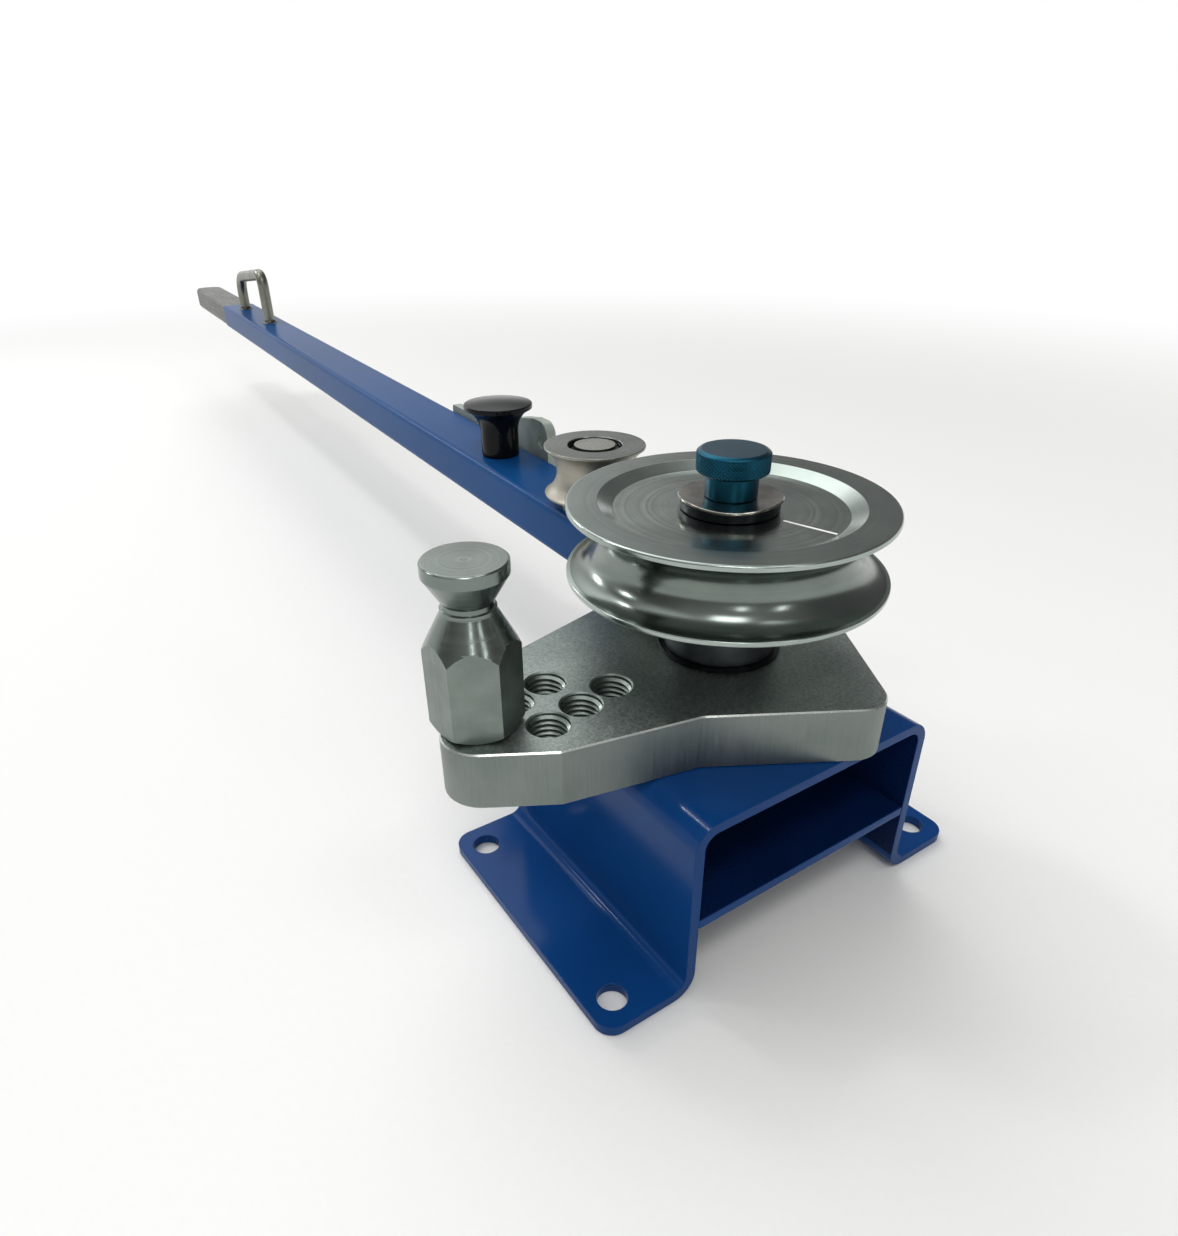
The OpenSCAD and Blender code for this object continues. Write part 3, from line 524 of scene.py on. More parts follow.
def arc(centre: Point2, radius: float, start: float, end: float, steps: int = 4) -> list[Point2]:
    """Returns points on an arc.

    Args:
        centre: Middle of the arc.
        radius: Its radius.
        start: Angle of the first point, in degrees.
        end: Angle of the last point, in degrees.
        steps: Number of stretches.

    Returns:
        The points, both ends included.
    """
    angles = (math.radians(start + (end - start) * i / steps) for i in range(steps + 1))
    return [(centre[0] + radius * math.cos(a), centre[1] + radius * math.sin(a)) for a in angles]


def even_shading(piece: bpy.types.Object) -> None:
    """Makes flat faces shade flat beside rounded edges."""
    weighted = piece.modifiers.new("flat_faces", "WEIGHTED_NORMAL")
    weighted.mode, weighted.weight, weighted.keep_sharp = "FACE_AREA", 100, True


def copied(node: str, change: Callable[[bmesh.types.BMesh], None] | None = None) -> bpy.types.Object:
    """Copies a solid's shape into a new piece, with its triangles joined to flat faces.

    Args:
        node: Solid whose shape is kept.
        change: Changes the faces before they are shaded, or None.

    Returns:
        The new piece.
    """
    mesh = bpy.data.meshes.new(node + "_dressed")
    work = bmesh.new()
    work.from_mesh(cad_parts[node].data)
    bmesh.ops.remove_doubles(work, verts=work.verts, dist=SAME_CORNER)
    bmesh.ops.dissolve_limit(work, angle_limit=math.radians(FLAT_TURN), verts=work.verts, edges=work.edges)
    if change:
        change(work)
    for face in work.faces:
        face.smooth = True
    work.to_mesh(mesh)
    work.free()
    mesh.materials.clear()
    return put_in_scene(node + "_dressed", mesh)


def chamfered(node: str, width: float) -> bpy.types.Object:
    """Copies a solid into a new piece with a flat chamfer on each sharp edge, as a mill cuts it.

    Args:
        node: Solid whose shape is kept.
        width: Width of the chamfer, in metres.

    Returns:
        The new piece.
    """
    limit = math.radians(SHARP_TURN)

    def cut(work: bmesh.types.BMesh) -> None:
        """Cuts the chamfers and keeps their edges crisp.

        Args:
            work: Faces of the piece.
        """
        sharp = [edge for edge in work.edges if edge.calc_face_angle(0.0) > limit]
        bmesh.ops.bevel(work, geom=sharp, offset=width, offset_type="OFFSET", segments=1, profile=0.5,
                        affect="EDGES", clamp_overlap=True)
        for edge in work.edges:
            edge.smooth = edge.calc_face_angle(0.0) < limit

    return copied(node, cut)


def soft_edged(node: str, width: float) -> bpy.types.Object:
    """Copies a solid into a new piece whose sharp edges are rounded, as paint or a file leaves them.

    Args:
        node: Solid whose shape is kept.
        width: Width of the rounding, in metres.

    Returns:
        The new piece.
    """
    piece = copied(node)
    bevel = piece.modifiers.new("edge", "BEVEL")
    bevel.width, bevel.segments = width, 2
    bevel.limit_method, bevel.angle_limit = "ANGLE", math.radians(SHARP_TURN)
    even_shading(piece)
    return piece


def mesh_piece(name: str, points: Sequence[Vector], faces: Iterable[Sequence[int]]) -> bpy.types.Object:
    """Makes a piece from points and faces, smooth except at its sharp edges.

    Args:
        name: Name of the piece.
        points: Corners, in metres.
        faces: Corner numbers of each face.

    Returns:
        The new piece.
    """
    mesh = bpy.data.meshes.new(name)
    mesh.from_pydata([tuple(p) for p in points], [], [tuple(f) for f in faces])
    mesh.validate()
    work = bmesh.new()
    work.from_mesh(mesh)
    bmesh.ops.recalc_face_normals(work, faces=work.faces)
    limit = math.radians(CURVE_TURN)
    for edge in work.edges:
        edge.smooth = len(edge.link_faces) != 2 or edge.calc_face_angle(0.0) < limit
    for face in work.faces:
        face.smooth = True
    work.to_mesh(mesh)
    work.free()
    return put_in_scene(name, mesh)


def swept(name: str, rings: Sequence[Sequence[Vector]], closed: bool = False) -> bpy.types.Object:
    """Joins equal rings of points into one skin with flat ends.

    Args:
        name: Name of the piece.
        rings: Rings of points in order along the sweep.
        closed: Whether the last ring joins the first.

    Returns:
        The new piece.
    """
    count = len(rings[0])
    points = [p for ring in rings for p in ring]
    spans = len(rings) if closed else len(rings) - 1
    faces: list[Sequence[int]] = []
    for i in range(spans):
        a, b = i * count, (i + 1) % len(rings) * count
        faces += [(a + k, a + (k + 1) % count, b + (k + 1) % count, b + k) for k in range(count)]
    if not closed:
        faces += [tuple(range(count))[::-1], tuple(range(len(points) - count, len(points)))]
    return mesh_piece(name, points, faces)


def turned(name: str, axis: Point2, foot: float, bands: Sequence[Band], steps: int = 144,
           relief: Callable[[float, float, float], Point2] | None = None) -> bpy.types.Object:
    """Turns a closed profile round an upright axis and dresses each band of it.

    Args:
        name: Name of the piece.
        axis: Place of the axis across and along the base.
        foot: Height that the profile's heights are counted from.
        bands: Profile from the axis or bore outwards and back, in order.
        steps: Points round a turn.
        relief: Gives what is added to the radius and the height, from the angle, radius and height.

    Returns:
        The new piece, with its materials.
    """
    profile = [p for band in bands for p in band.points]
    slots = [i for i, band in enumerate(bands) for _ in band.points]
    count = len(profile)
    rings = []
    for i in range(steps):
        a = 2 * math.pi * i / steps
        ring = []
        for radius, height in profile:
            more, lift = relief(a, radius, height) if relief else (0.0, 0.0)
            r = radius + more
            ring.append(Vector((axis[0] + r * math.cos(a), axis[1] + r * math.sin(a), foot + height + lift)))
        rings.append(ring)
    piece = swept(name, rings, closed=True)
    for number, face in enumerate(piece.data.polygons):
        face.material_index = slots[number % count]
    work = bmesh.new()
    work.from_mesh(piece.data)
    bmesh.ops.remove_doubles(work, verts=work.verts, dist=ON_AXIS)
    work.to_mesh(piece.data)
    work.free()
    for band in bands:
        piece.data.materials.append(dressed(band.finish))
    even_shading(piece)
    return piece


def finish_node(node: str, finish: Finish) -> None:
    """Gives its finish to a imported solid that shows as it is.

    Args:
        node: The solid.
        finish: Its surface.
    """
    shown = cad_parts[node]
    shown.data.materials.clear()
    shown.data.materials.append(dressed(finish))
    LOG.info("%s keeps its solid's shape", node)


def settle(piece: bpy.types.Object, body: Body, finish: Finish | None = None,
           stands_for: Sequence[str] = ()) -> None:
    """Finishes a new piece and puts it on its body.

    Args:
        piece: The piece, in place.
        body: Body that it moves with.
        finish: Its surface, or None where it has its materials already.
        stands_for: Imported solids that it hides.
    """
    if finish:
        piece.data.materials.append(dressed(finish))
    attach(piece, body.value)
    if stands_for:
        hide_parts(*stands_for)
    LOG.info("%s rides on %s", piece.name, body.value)


def axis_of(node: str) -> Point2:
    """Returns the middle of a solid, across and along the base."""
    low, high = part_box(node)
    return (low.x + high.x) / 2, (low.y + high.y) / 2


def foot_of(node: str) -> float:
    """Returns the height of a solid's lowest point."""
    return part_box(node)[0].z


# Sub-assemblies


@dataclass
class FoldedBase:
    """Blue folded bracket with its tie shelf, and painted shade on the faces inside its channel.

    Attributes:
        edge: Width of the paint-rounded edges.
        inward: Least share of a face's normal that makes it an inner face, which takes the painted shade.
        flange_top: Height above which faces can lie in the channel.
    """

    edge: float = 0.5 * MM
    inward: float = 0.3
    flange_top: float = 10 * MM

    def build(self) -> None:
        """Dresses the bracket and the shelf, with painted shade inside the channel."""
        low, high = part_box("base_bracket")
        middle = (low.x + high.x) / 2
        for node in ("base_bracket", "base_shelf"):
            piece = soft_edged(node, self.edge)
            settle(piece, Body.BASE, BLUE_POWDER, [node])
            piece.data.materials.append(dressed(BLUE_POWDER_PAINTED_SHADE))
            # Inner faces, faces under the top and the shelf's flat faces in the channel take the darker coat:
            # painted shade.
            for face in piece.data.polygons:
                to_middle = face.normal.x * math.copysign(1.0, face.center.x - middle) < -self.inward
                level = abs(face.normal.z) > self.inward if node == "base_shelf" else face.normal.z < -self.inward
                face.material_index = int(face.center.z > self.flange_top and (to_middle or level))


class PostFinish(Enum):
    """Material slots of the post, in order."""

    TURNED = 0
    FLAT = 1
    FACED = 2


@dataclass
class StopPlate:
    """Thick zinc plate with its tapped holes, and the post screwed into one of them.

    Attributes:
        pivot: Place of the pivot across and along the base.
        tongue_turn: Heading of the tongue, in degrees.
        rows: Distance along the tongue of each open hole, with its distance to the tongue's right.
        chamfer: Width of the plate's broken edges.
        sloped: Shares of the normal between which a face lies on a chamfer.
        mouth: Reach of a hole's own edge, in radii of the hole.
        pitch: Pitch of the thread.
        crest: Radius of the thread's crest.
        tap: Radius of the hole.
        bury: Depth of the thread's foot in the hole's wall.
        ridge: Half width of the thread at its foot and at its crest, in pitches.
        ends: Distance of the thread's lower and upper end from the plate's faces, in pitches.
        steps: Points round a turn of the thread.
        post_neck: Height of the post's neck above the plate.
        post_edge: Width of the post's broken edges.
        upright: Greatest share of the normal that makes a face of the post upright.
        level: Least share of the normal that makes it level.
    """

    pivot: Point2 = (3 * MM, 2 * MM)
    tongue_turn: float = 194.7
    rows: tuple[Point2, ...] = ((47.8 * MM, 10.9 * MM), (63 * MM, 10.9 * MM), (78.2 * MM, 10.9 * MM),
                                (61.3 * MM, 28.7 * MM), (76.5 * MM, 28.7 * MM))
    chamfer: float = 0.7 * MM
    sloped: Point2 = (0.3, 0.9)
    mouth: float = 1.3
    pitch: float = 2 * MM
    crest: float = 6 * MM
    tap: float = 7 * MM
    bury: float = 0.02 * MM
    ridge: Point2 = (0.44, 0.07)
    ends: Point2 = (1.0, 0.9)
    steps: int = 40
    post_neck: float = 40.9 * MM
    post_edge: float = 0.25 * MM
    upright: float = 0.02
    level: float = 0.9

    def hole(self, along: float, right: float) -> Point2:
        """Returns the place of a hole of the tongue, across and along the base."""
        a = math.radians(self.tongue_turn)
        return (self.pivot[0] + along * math.cos(a) + right * math.sin(a),
                self.pivot[1] + along * math.sin(a) - right * math.cos(a))

    def thread(self, name: str, centre: Point2, low: float, high: float) -> bpy.types.Object:
        """Winds the ridge of a tapped thread down a hole.

        Args:
            name: Name of the piece.
            centre: Place of the hole.
            low: Height of the thread's lower end.
            high: Height of its upper end.

        Returns:
            The ridge.
        """
        root = self.tap + self.bury
        wide, narrow = (self.pitch * share for share in self.ridge)
        rings = []
        for i in range(int((high - low) / self.pitch * self.steps) + 1):
            a = 2 * math.pi * i / self.steps
            z = low + self.pitch * i / self.steps
            out = Vector((math.cos(a), math.sin(a), 0.0))
            mid = Vector((*centre, z))
            rings.append([mid + out * r + Vector((0.0, 0.0, h)) for r, h in
                          ((root, -wide), (self.crest, -narrow), (self.crest, narrow), (root, wide))])
        return swept(name, rings)

    def build(self) -> None:
        """Dresses the plate, its threads and the post."""
        plate = chamfered("stop_plate", self.chamfer)
        settle(plate, Body.BASE, PLATE_ZINC, ["stop_plate"])
        # The chamfers take the lighter zinc: a painted highlight along the plate's edges.
        plate.data.materials.append(dressed(CHAMFER_ZINC_HIGHLIGHT))
        for face in plate.data.polygons:
            at_hole = any(math.dist(face.center[:2], self.hole(*row)) < self.mouth * self.tap for row in self.rows)
            face.material_index = int(self.sloped[0] < abs(face.normal.z) < self.sloped[1] and not at_hole)
        low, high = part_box("stop_plate")
        for number, row in enumerate(self.rows, 1):
            ridge = self.thread(f"post_hole_thread_{number}", self.hole(*row), low.z + self.pitch * self.ends[0],
                                high.z - self.pitch * self.ends[1])
            settle(ridge, Body.BASE, SMOOTH_ZINC)
        self.post(high.z)

    def post(self, seat: float) -> None:
        """Dresses the post: a faced top, turned sides, and the bare flats of the hexagon below.

        Args:
            seat: Height of the plate's top.
        """
        axis = axis_of("stop_post")
        piece = soft_edged("stop_post", self.post_edge)
        # Turned and zinc plated: satin, with faint rings round the neck and the cone.
        metal = TurnedSteel("turned_zinc_post", "#7E8682", "#737C77", 0.24, 1.0, grain=1.2 * MM, depth=0.008 * MM,
                            centre=axis)
        # Faced with a coarse feed and zinc plated: a swirl of rings that catch the light in turn. Real ones stand
        # about 0.3 mm apart, too fine to show, so they are drawn at 1.5 mm.
        faced = TurnedSteel("faced_zinc_post_top", "#8A928D", "#7B847F", 0.24, 1.0, grain=1.5 * MM,
                            depth=0.05 * MM, centre=axis, anisotropy=0.4)
        settle(piece, Body.BASE, metal, ["stop_post"])
        piece.data.materials.append(dressed(HEXAGON_ZINC))
        piece.data.materials.append(dressed(faced))
        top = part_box("stop_post")[1].z
        for face in piece.data.polygons:
            kind = PostFinish.TURNED
            if abs(face.normal.z) < self.upright and face.center.z < seat + self.post_neck:
                kind = PostFinish.FLAT
            elif face.normal.z > self.level and face.center.z > top - MM:
                kind = PostFinish.FACED
            face.material_index = kind.value


@dataclass
class FormWheel:
    """Grooved form wheel and the collar, washer and knob that hold it.

    Attributes:
        radius: Outer radius of the wheel.
        height: Its height.
        groove: Radius of its groove.
        bore: Radius of the bore.
        rim_inner: Inner radius of the flat top rim.
        bevel: Width of the bevel inside the rim.
        recess: Depth of the recess.
        edge: Rounding of the outer edges.
        steps: Points round the wheel.
        knob_radius: Radius of the knob's knurled head.
        knob_stem: Radius of its stem.
        stem_height: Height of the stem.
        head_height: Height of the head.
        head_chamfer: Chamfer of the head.
        head_land: Distance of the flat top's edge from the head's side.
        stem_round: Rounding of the stem's foot.
        head_round: Rounding of the head's flat top.
        fillet: Width and height of the corner between the stem and the head.
        knurl_depth: Depth of the knurl.
        knurl_pitch: Distance between its diamonds. Real ones stand about 0.8 mm apart, too fine to show, so they
            are drawn at 1.25 mm.
        knurl_rows: Rows of points up the knurl.
        washer_radius: Radius of the wavy washer.
        washer_bore: Radius of its hole.
        washer_thickness: Its thickness.
        wave: Rise of its waves.
        waves: Number of its waves.
        wave_turn: Angle by which they are turned, in radians.
        collar_edge: Rounding of the collar's edges.
    """

    radius: float = 55 * MM
    height: float = 26.1 * MM
    groove: float = 11 * MM
    bore: float = 14.525 * MM
    rim_inner: float = 44 * MM
    bevel: float = 5 * MM
    recess: float = 2.85 * MM
    edge: float = 0.8 * MM
    steps: int = 200
    knob_radius: float = 12.2 * MM
    knob_stem: float = 8.8 * MM
    stem_height: float = 7.9 * MM
    head_height: float = 7.7 * MM
    head_chamfer: float = 0.9 * MM
    head_land: float = 1.7 * MM
    stem_round: float = 0.6 * MM
    head_round: float = 0.3 * MM
    fillet: Point2 = (0.3 * MM, 0.4 * MM)
    knurl_depth: float = 0.38 * MM
    knurl_pitch: float = 1.25 * MM
    knurl_rows: int = 40
    washer_radius: float = 17.5 * MM
    washer_bore: float = 5.15 * MM
    washer_thickness: float = 1 * MM
    wave: float = 0.7 * MM
    waves: int = 3
    wave_turn: float = 0.6
    collar_edge: float = 0.4 * MM

    def wheel(self) -> None:
        """Turns the wheel: satin rims, a polished groove and a ringed floor."""
        axis = axis_of("form_wheel")
        # Finely turned and zinc plated: smooth rims whose light is drawn out across the rings.
        rim = TurnedSteel("turned_zinc_rim", "#A8B1AC", "#9BA5A0", 0.2, 1.0, grain=0.8 * MM, depth=0.0015 * MM,
                          centre=axis, anisotropy=0.3)
        # Faced more coarsely: rings that show, and a scribed line whose torn metal stays white. Real rings stand
        # about 0.3 mm apart, too fine to show, so they are drawn at 1.8 mm.
        floor = TurnedSteel("turned_zinc_floor", "#B4BDB8", "#A2ABA6", 0.2, 1.0, grain=1.8 * MM,
                            depth=0.022 * MM, centre=axis, scribe=(-73.5, 20 * MM, 38.5 * MM), anisotropy=0.4)
        # Polished after turning, so that the tube slides in: a dark, clear gloss.
        groove = TurnedSteel("polished_zinc_groove", "#7C847F", "#737B76", 0.2, 1.0, grain=1.6 * MM,
                             depth=0.003 * MM, centre=axis)
        r, h, g, e = self.radius, self.height, self.groove, self.edge
        lip, middle, floor_height = e / 2, h / 2, h - self.recess
        mouth = math.degrees(math.acos(lip / g))
        foot = self.rim_inner - self.bevel
        under = Band([(self.bore, 0.0), *arc((r - e, e), e, -90, 0),
                      *arc((r - lip, middle - g - lip), lip, 0, 90)], rim)
        hollow = Band(arc((r, middle), g, 180 + mouth, 180 - mouth, 36)[1:], groove)
        over = Band([*arc((r - lip, middle + g + lip), lip, -90, 0), *arc((r - e, h - e), e, 0, 90),
                     *arc((self.rim_inner + e / 2, h - e / 2), e / 2, 90, 120, 2),
                     (foot + e / 2, floor_height + e / 4)], rim)
        inside = Band([(foot, floor_height), (self.bore + e, floor_height), (self.bore, floor_height)], floor)
        piece = turned("form_wheel_dressed", axis, foot_of("form_wheel"), [under, hollow, over, inside], self.steps)
        settle(piece, Body.DIE, None, ["form_wheel"])

    def washer(self) -> None:
        """Turns the spring washer and lifts its rim in three waves."""
        r, t = self.washer_radius, self.washer_thickness
        inner, start = self.washer_bore, self.knob_stem
        edge = t / 4
        rows = [start + (r - edge - start) * i / 4 for i in range(5)]
        points = [(inner, 0.0), *((x, 0.0) for x in rows), (r, edge), (r, t - edge), *((x, t) for x in rows[::-1]),
                  (inner, t)]

        def ripple(angle: float, radius: float, height: float) -> Point2:
            """Returns the lift of the rim, which grows from the knob outwards."""
            share = max(0.0, (radius - start) / (r - start))
            return 0.0, self.wave * share ** 1.5 * (0.5 - 0.5 * math.cos(self.waves * angle + self.wave_turn))

        piece = turned("clamp_washer_dressed", axis_of("clamp_washer"), foot_of("clamp_washer"),
                       [Band(points, SPRING_STEEL)], relief=ripple)
        settle(piece, Body.CLAMP_LIFT, None, ["clamp_washer"])

    def knob(self) -> None:
        """Turns the knob and rolls a fine diamond knurl into its head."""
        r, s = self.knob_radius, self.knob_stem
        low, top = self.stem_height, self.stem_height + self.head_height
        chamfer, depth, pitch, rows = self.head_chamfer, self.knurl_depth, self.knurl_pitch, self.knurl_rows
        foot, crown, fillet = self.stem_round, self.head_round, self.fillet
        side_low, side_top = low + chamfer, top - chamfer
        side = [(r - depth, side_low + (side_top - side_low) * i / rows) for i in range(rows + 1)]
        points = [(0.0, 0.0), *arc((s - foot, foot), foot, -90, 0, 3), (s, low - fillet[1]),
                  (s + fillet[0], low), (r - chamfer - depth, low), *side,
                  (r - depth - chamfer / 2, top - chamfer / 3),
                  *arc((r - self.head_land, top - crown), crown, 60, 90, 2), (0.0, top)]
        count = round(2 * math.pi * r / pitch)

        def knurl(angle: float, radius: float, height: float) -> Point2:
            """Raises the diamonds on the head's side.

            Args:
                angle: Angle round the knob, in radians.
                radius: Distance to the axis.
                height: Height above the knob's foot.

            Returns:
                What is added to the radius and to the height.
            """
            if not side_low <= height <= side_top:
                return 0.0, 0.0
            turn, rise = angle * count / (2 * math.pi), height / pitch
            slopes = (abs((turn + sign * rise) % 1.0 - 0.5) * 2 for sign in (1, -1))
            return depth * min(slopes), 0.0

        piece = turned("clamp_knob_dressed", axis_of("clamp_knob"), foot_of("clamp_knob"),
                       [Band(points, TEAL_ANODISED)], count * 6, knurl)
        settle(piece, Body.CLAMP_TURN, None, ["clamp_knob"])

    def collar(self) -> None:
        """Turns the collar with broken edges."""
        low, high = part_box("thrust_collar")
        r, t, e = (high.x - low.x) / 2, high.z - low.z, self.collar_edge
        points = [(self.washer_bore, 0.0), *arc((r - e, e), e, -90, 0), *arc((r - e, t - e), e, 0, 90),
                  (self.washer_bore, t)]
        piece = turned("thrust_collar_dressed", axis_of("thrust_collar"), low.z, [Band(points, BLACK_OXIDE)])
        settle(piece, Body.BASE, None, ["thrust_collar"])

    def build(self) -> None:
        """Builds the wheel and what holds it."""
        self.wheel()
        self.collar()
        self.washer()
        self.knob()


@dataclass
class Arm:
    """Blue arm tube with its tang, handle, roller and index plunger.

    Attributes:
        pivot: Place of the pivot across and along the base.
        heading: Heading of the arm, in degrees.
        offset: Distance of the tube's middle to the left of the pivot.
        legs: Distance of the handle's two legs from the pivot.
        bar: Radius of the handle's bar.
        edge: Width of the broken edges of the tang and the cheek.
        bead: Width and height of the weld beads.
        fused: Depth of the beads in the legs.
        bead_hollow: Radius of the beads' hollow side, where 1 is their width.
        bead_steps: Points round a bead.
        ripple_height: Height of the beads' ripples.
        ripples: Number of ripples round a leg.
        roller_radius: Outer radius of the roller.
        roller_height: Its height.
        roller_cut: Radius of its groove.
        roller_groove: Depth of its groove.
        roller_bore: Radius of its bore.
        roller_edge: Rounding of its edges.
        counterbore: Radius of its counterbore.
        counterbore_depth: Depth of that.
        steps: Points round the roller and the plunger knob.
        neck: Radius of the plunger knob's neck.
        flare: Radius of its hollow flare.
        rim: Radius of its head.
        rim_height: Height of the head's rim.
        rim_edge: Rounding of the knob's edges.
        dome: Rise of its domed top.
        cavity: Radius of the bore in the neck.
        cavity_height: Height of that bore.
        wire: Radius of the spring's wire.
        coils: Number of its coils.
        coil_steps: Points round a coil.
        wire_sides: Points round the wire.
    """

    pivot: Point2 = (3 * MM, 2 * MM)
    heading: float = 87.1
    offset: float = 1.5 * MM
    legs: tuple[float, float] = (667 * MM, 771.5 * MM)
    bar: float = 4.75 * MM
    edge: float = 0.6 * MM
    bead: float = 2.6 * MM
    fused: float = 0.1 * MM
    bead_hollow: float = 0.93
    bead_steps: int = 88
    ripple_height: float = 0.25 * MM
    ripples: int = 11
    roller_radius: float = 21 * MM
    roller_height: float = 20.5 * MM
    roller_cut: float = 11 * MM
    roller_groove: float = 5.2 * MM
    roller_bore: float = 10.525 * MM
    roller_edge: float = 0.35 * MM
    counterbore: float = 11.2 * MM
    counterbore_depth: float = 3.5 * MM
    steps: int = 128
    neck: float = 9.3 * MM
    flare: float = 12 * MM
    rim: float = 16.7 * MM
    rim_height: float = 2.6 * MM
    rim_edge: float = 0.6 * MM
    dome: float = 1.2 * MM
    cavity: float = 7.15 * MM
    cavity_height: float = 20 * MM
    wire: float = 0.5 * MM
    coils: int = 5
    coil_steps: int = 32
    wire_sides: int = 12

    def on_arm(self, along: float) -> Point2:
        """Returns a place on the middle of the arm, across and along the base."""
        a = math.radians(self.heading)
        return (self.pivot[0] + along * math.cos(a) - self.offset * math.sin(a),
                self.pivot[1] + along * math.sin(a) + self.offset * math.cos(a))

    def weld(self, name: str, centre: Point2, seat: float) -> None:
        """Lays the weld bead round a leg of the handle.

        Args:
            name: Name of the piece.
            centre: Middle of the leg.
            seat: Height of the arm's top.
        """
        size = self.bead
        inner = self.bar - self.fused
        points = [(inner, 0.0), (self.bar + size, 0.0),
                  *arc((self.bar + size, size), size * self.bead_hollow, -95, -175, 5), (inner, size)]

        def ripple(angle: float, radius: float, height: float) -> Point2:
            """Returns the bead's ripple, which dies out at the leg."""
            share = max(0.0, radius - self.bar) / size
            return self.ripple_height * share * math.sin(self.ripples * angle + math.sin(2 * angle)), 0.0

        piece = turned(name, centre, seat, [Band(points, MILL_STEEL)], self.bead_steps, ripple)
        settle(piece, Body.ARM)

    def roller(self) -> None:
        """Turns the follower roller: bright rims, a smooth groove and a counterbore."""
        axis = axis_of("follower_roller")
        # Turned and zinc plated: half dull flanges with fine rings.
        rim = TurnedSteel("turned_zinc_roller", "#898D87", "#7A7F78", 0.25, 1.0, grain=0.7 * MM, depth=0.005 * MM,
                          centre=axis, anisotropy=0.3)
        # Worn smooth by tube and left dull: a pale, warm grey with no clear reflections.
        groove = TurnedSteel("smooth_zinc_roller_groove", "#A29F95", "#918E84", 0.44, 1.0, grain=1.2 * MM,
                             depth=0.008 * MM, centre=axis)
        r, h, g = self.roller_radius, self.roller_height, self.roller_cut
        e = self.roller_edge
        centre = (r - self.roller_groove + g, h / 2)
        mouth = math.degrees(math.acos((g - self.roller_groove) / g))
        floor = h - self.counterbore_depth
        under = Band([(self.roller_bore, 0.0), *arc((r - e, e), e, -90, 0)], rim)
        hollow = Band(arc(centre, g, 180 + mouth, 180 - mouth, 24), groove)
        over = Band([*arc((r - e, h - e), e, 0, 90), (self.counterbore + e, h), (self.counterbore, h - e),
                     (self.counterbore, floor), (self.roller_bore, floor)], rim)
        bands = [under, hollow, over]
        piece = turned("follower_roller_dressed", axis, foot_of("follower_roller"), bands, self.steps)
        settle(piece, Body.ROLLER, None, ["follower_roller"])

    def plunger_knob(self) -> None:
        """Turns the mushroom knob: a neck that flares to a domed head."""
        low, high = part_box("plunger_knob")
        top, edge = high.z - low.z, self.rim_edge
        rim_foot = top - self.dome - self.rim_height
        turn = math.degrees(math.acos(1 - (self.rim - edge - self.neck) / self.flare))
        flare_foot = rim_foot - self.flare * math.sin(math.radians(turn))
        reach = self.rim - edge
        dome_radius = (reach ** 2 + self.dome ** 2) / (2 * self.dome)
        dome_turn = math.degrees(math.asin(reach / dome_radius))
        shell = [(self.cavity, 0.0), *arc((self.neck - edge, edge), edge, -90, 0, 3),
                 *arc((self.neck + self.flare, flare_foot), self.flare, 180, 180 - turn, 10),
                 *arc((self.rim - edge, rim_foot + edge), edge, -40, 0, 3),
                 *arc((self.rim - edge, rim_foot + self.rim_height - edge), edge, 0, 80, 4),
                 *arc((0.0, top - dome_radius), dome_radius, 90 - dome_turn, 90, 8)[1:],
                 (0.0, self.cavity_height), (self.cavity, self.cavity_height)]
        band = Band(shell, BLACK_PHENOLIC)
        piece = turned("plunger_knob_dressed", axis_of("plunger_knob"), low.z, [band], self.steps)
        settle(piece, Body.PLUNGER, None, ["plunger_knob"])

    def spring(self) -> None:
        """Winds the plunger's spring where the imported one stood."""
        low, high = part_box("plunger_spring")
        axis, wire = axis_of("plunger_spring"), self.wire
        radius, rise = (high.x - low.x) / 2 - wire, high.z - low.z - 2 * wire
        count = self.coils * self.coil_steps
        rings = []
        for i in range(count + 1):
            a = math.radians(self.heading) + 2 * math.pi * i / self.coil_steps
            out = Vector((math.cos(a), math.sin(a), 0.0))
            middle = Vector((*axis, low.z + wire + rise * i / count)) + out * radius
            turns = (2 * math.pi * k / self.wire_sides for k in range(self.wire_sides))
            rings.append([middle + out * wire * math.cos(t) + Vector((0.0, 0.0, wire * math.sin(t))) for t in turns])
        piece = swept("plunger_spring_dressed", rings)
        piece.data.materials.append(dressed(SPRING_STEEL))
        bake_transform(piece)
        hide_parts("plunger_spring")
        LOG.info("%s shortens between the arm and the plunger", piece.name)

    def build(self) -> None:
        """Dresses the arm and what it carries."""
        finish_node("arm_tube", BLUE_POWDER_TUBE)
        settle(soft_edged("arm_tang", self.edge), Body.ARM, MILL_STEEL, ["arm_tang"])
        finish_node("pull_handle", HANDLE_STEEL)
        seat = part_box("arm_tube")[1].z
        for number, along in enumerate(self.legs, 1):
            self.weld(f"handle_weld_{number}", self.on_arm(along), seat)
        settle(soft_edged("side_cheek", self.edge), Body.ARM, ZINC_FLAKE, ["side_cheek"])
        self.roller()
        self.plunger_knob()
        self.spring()


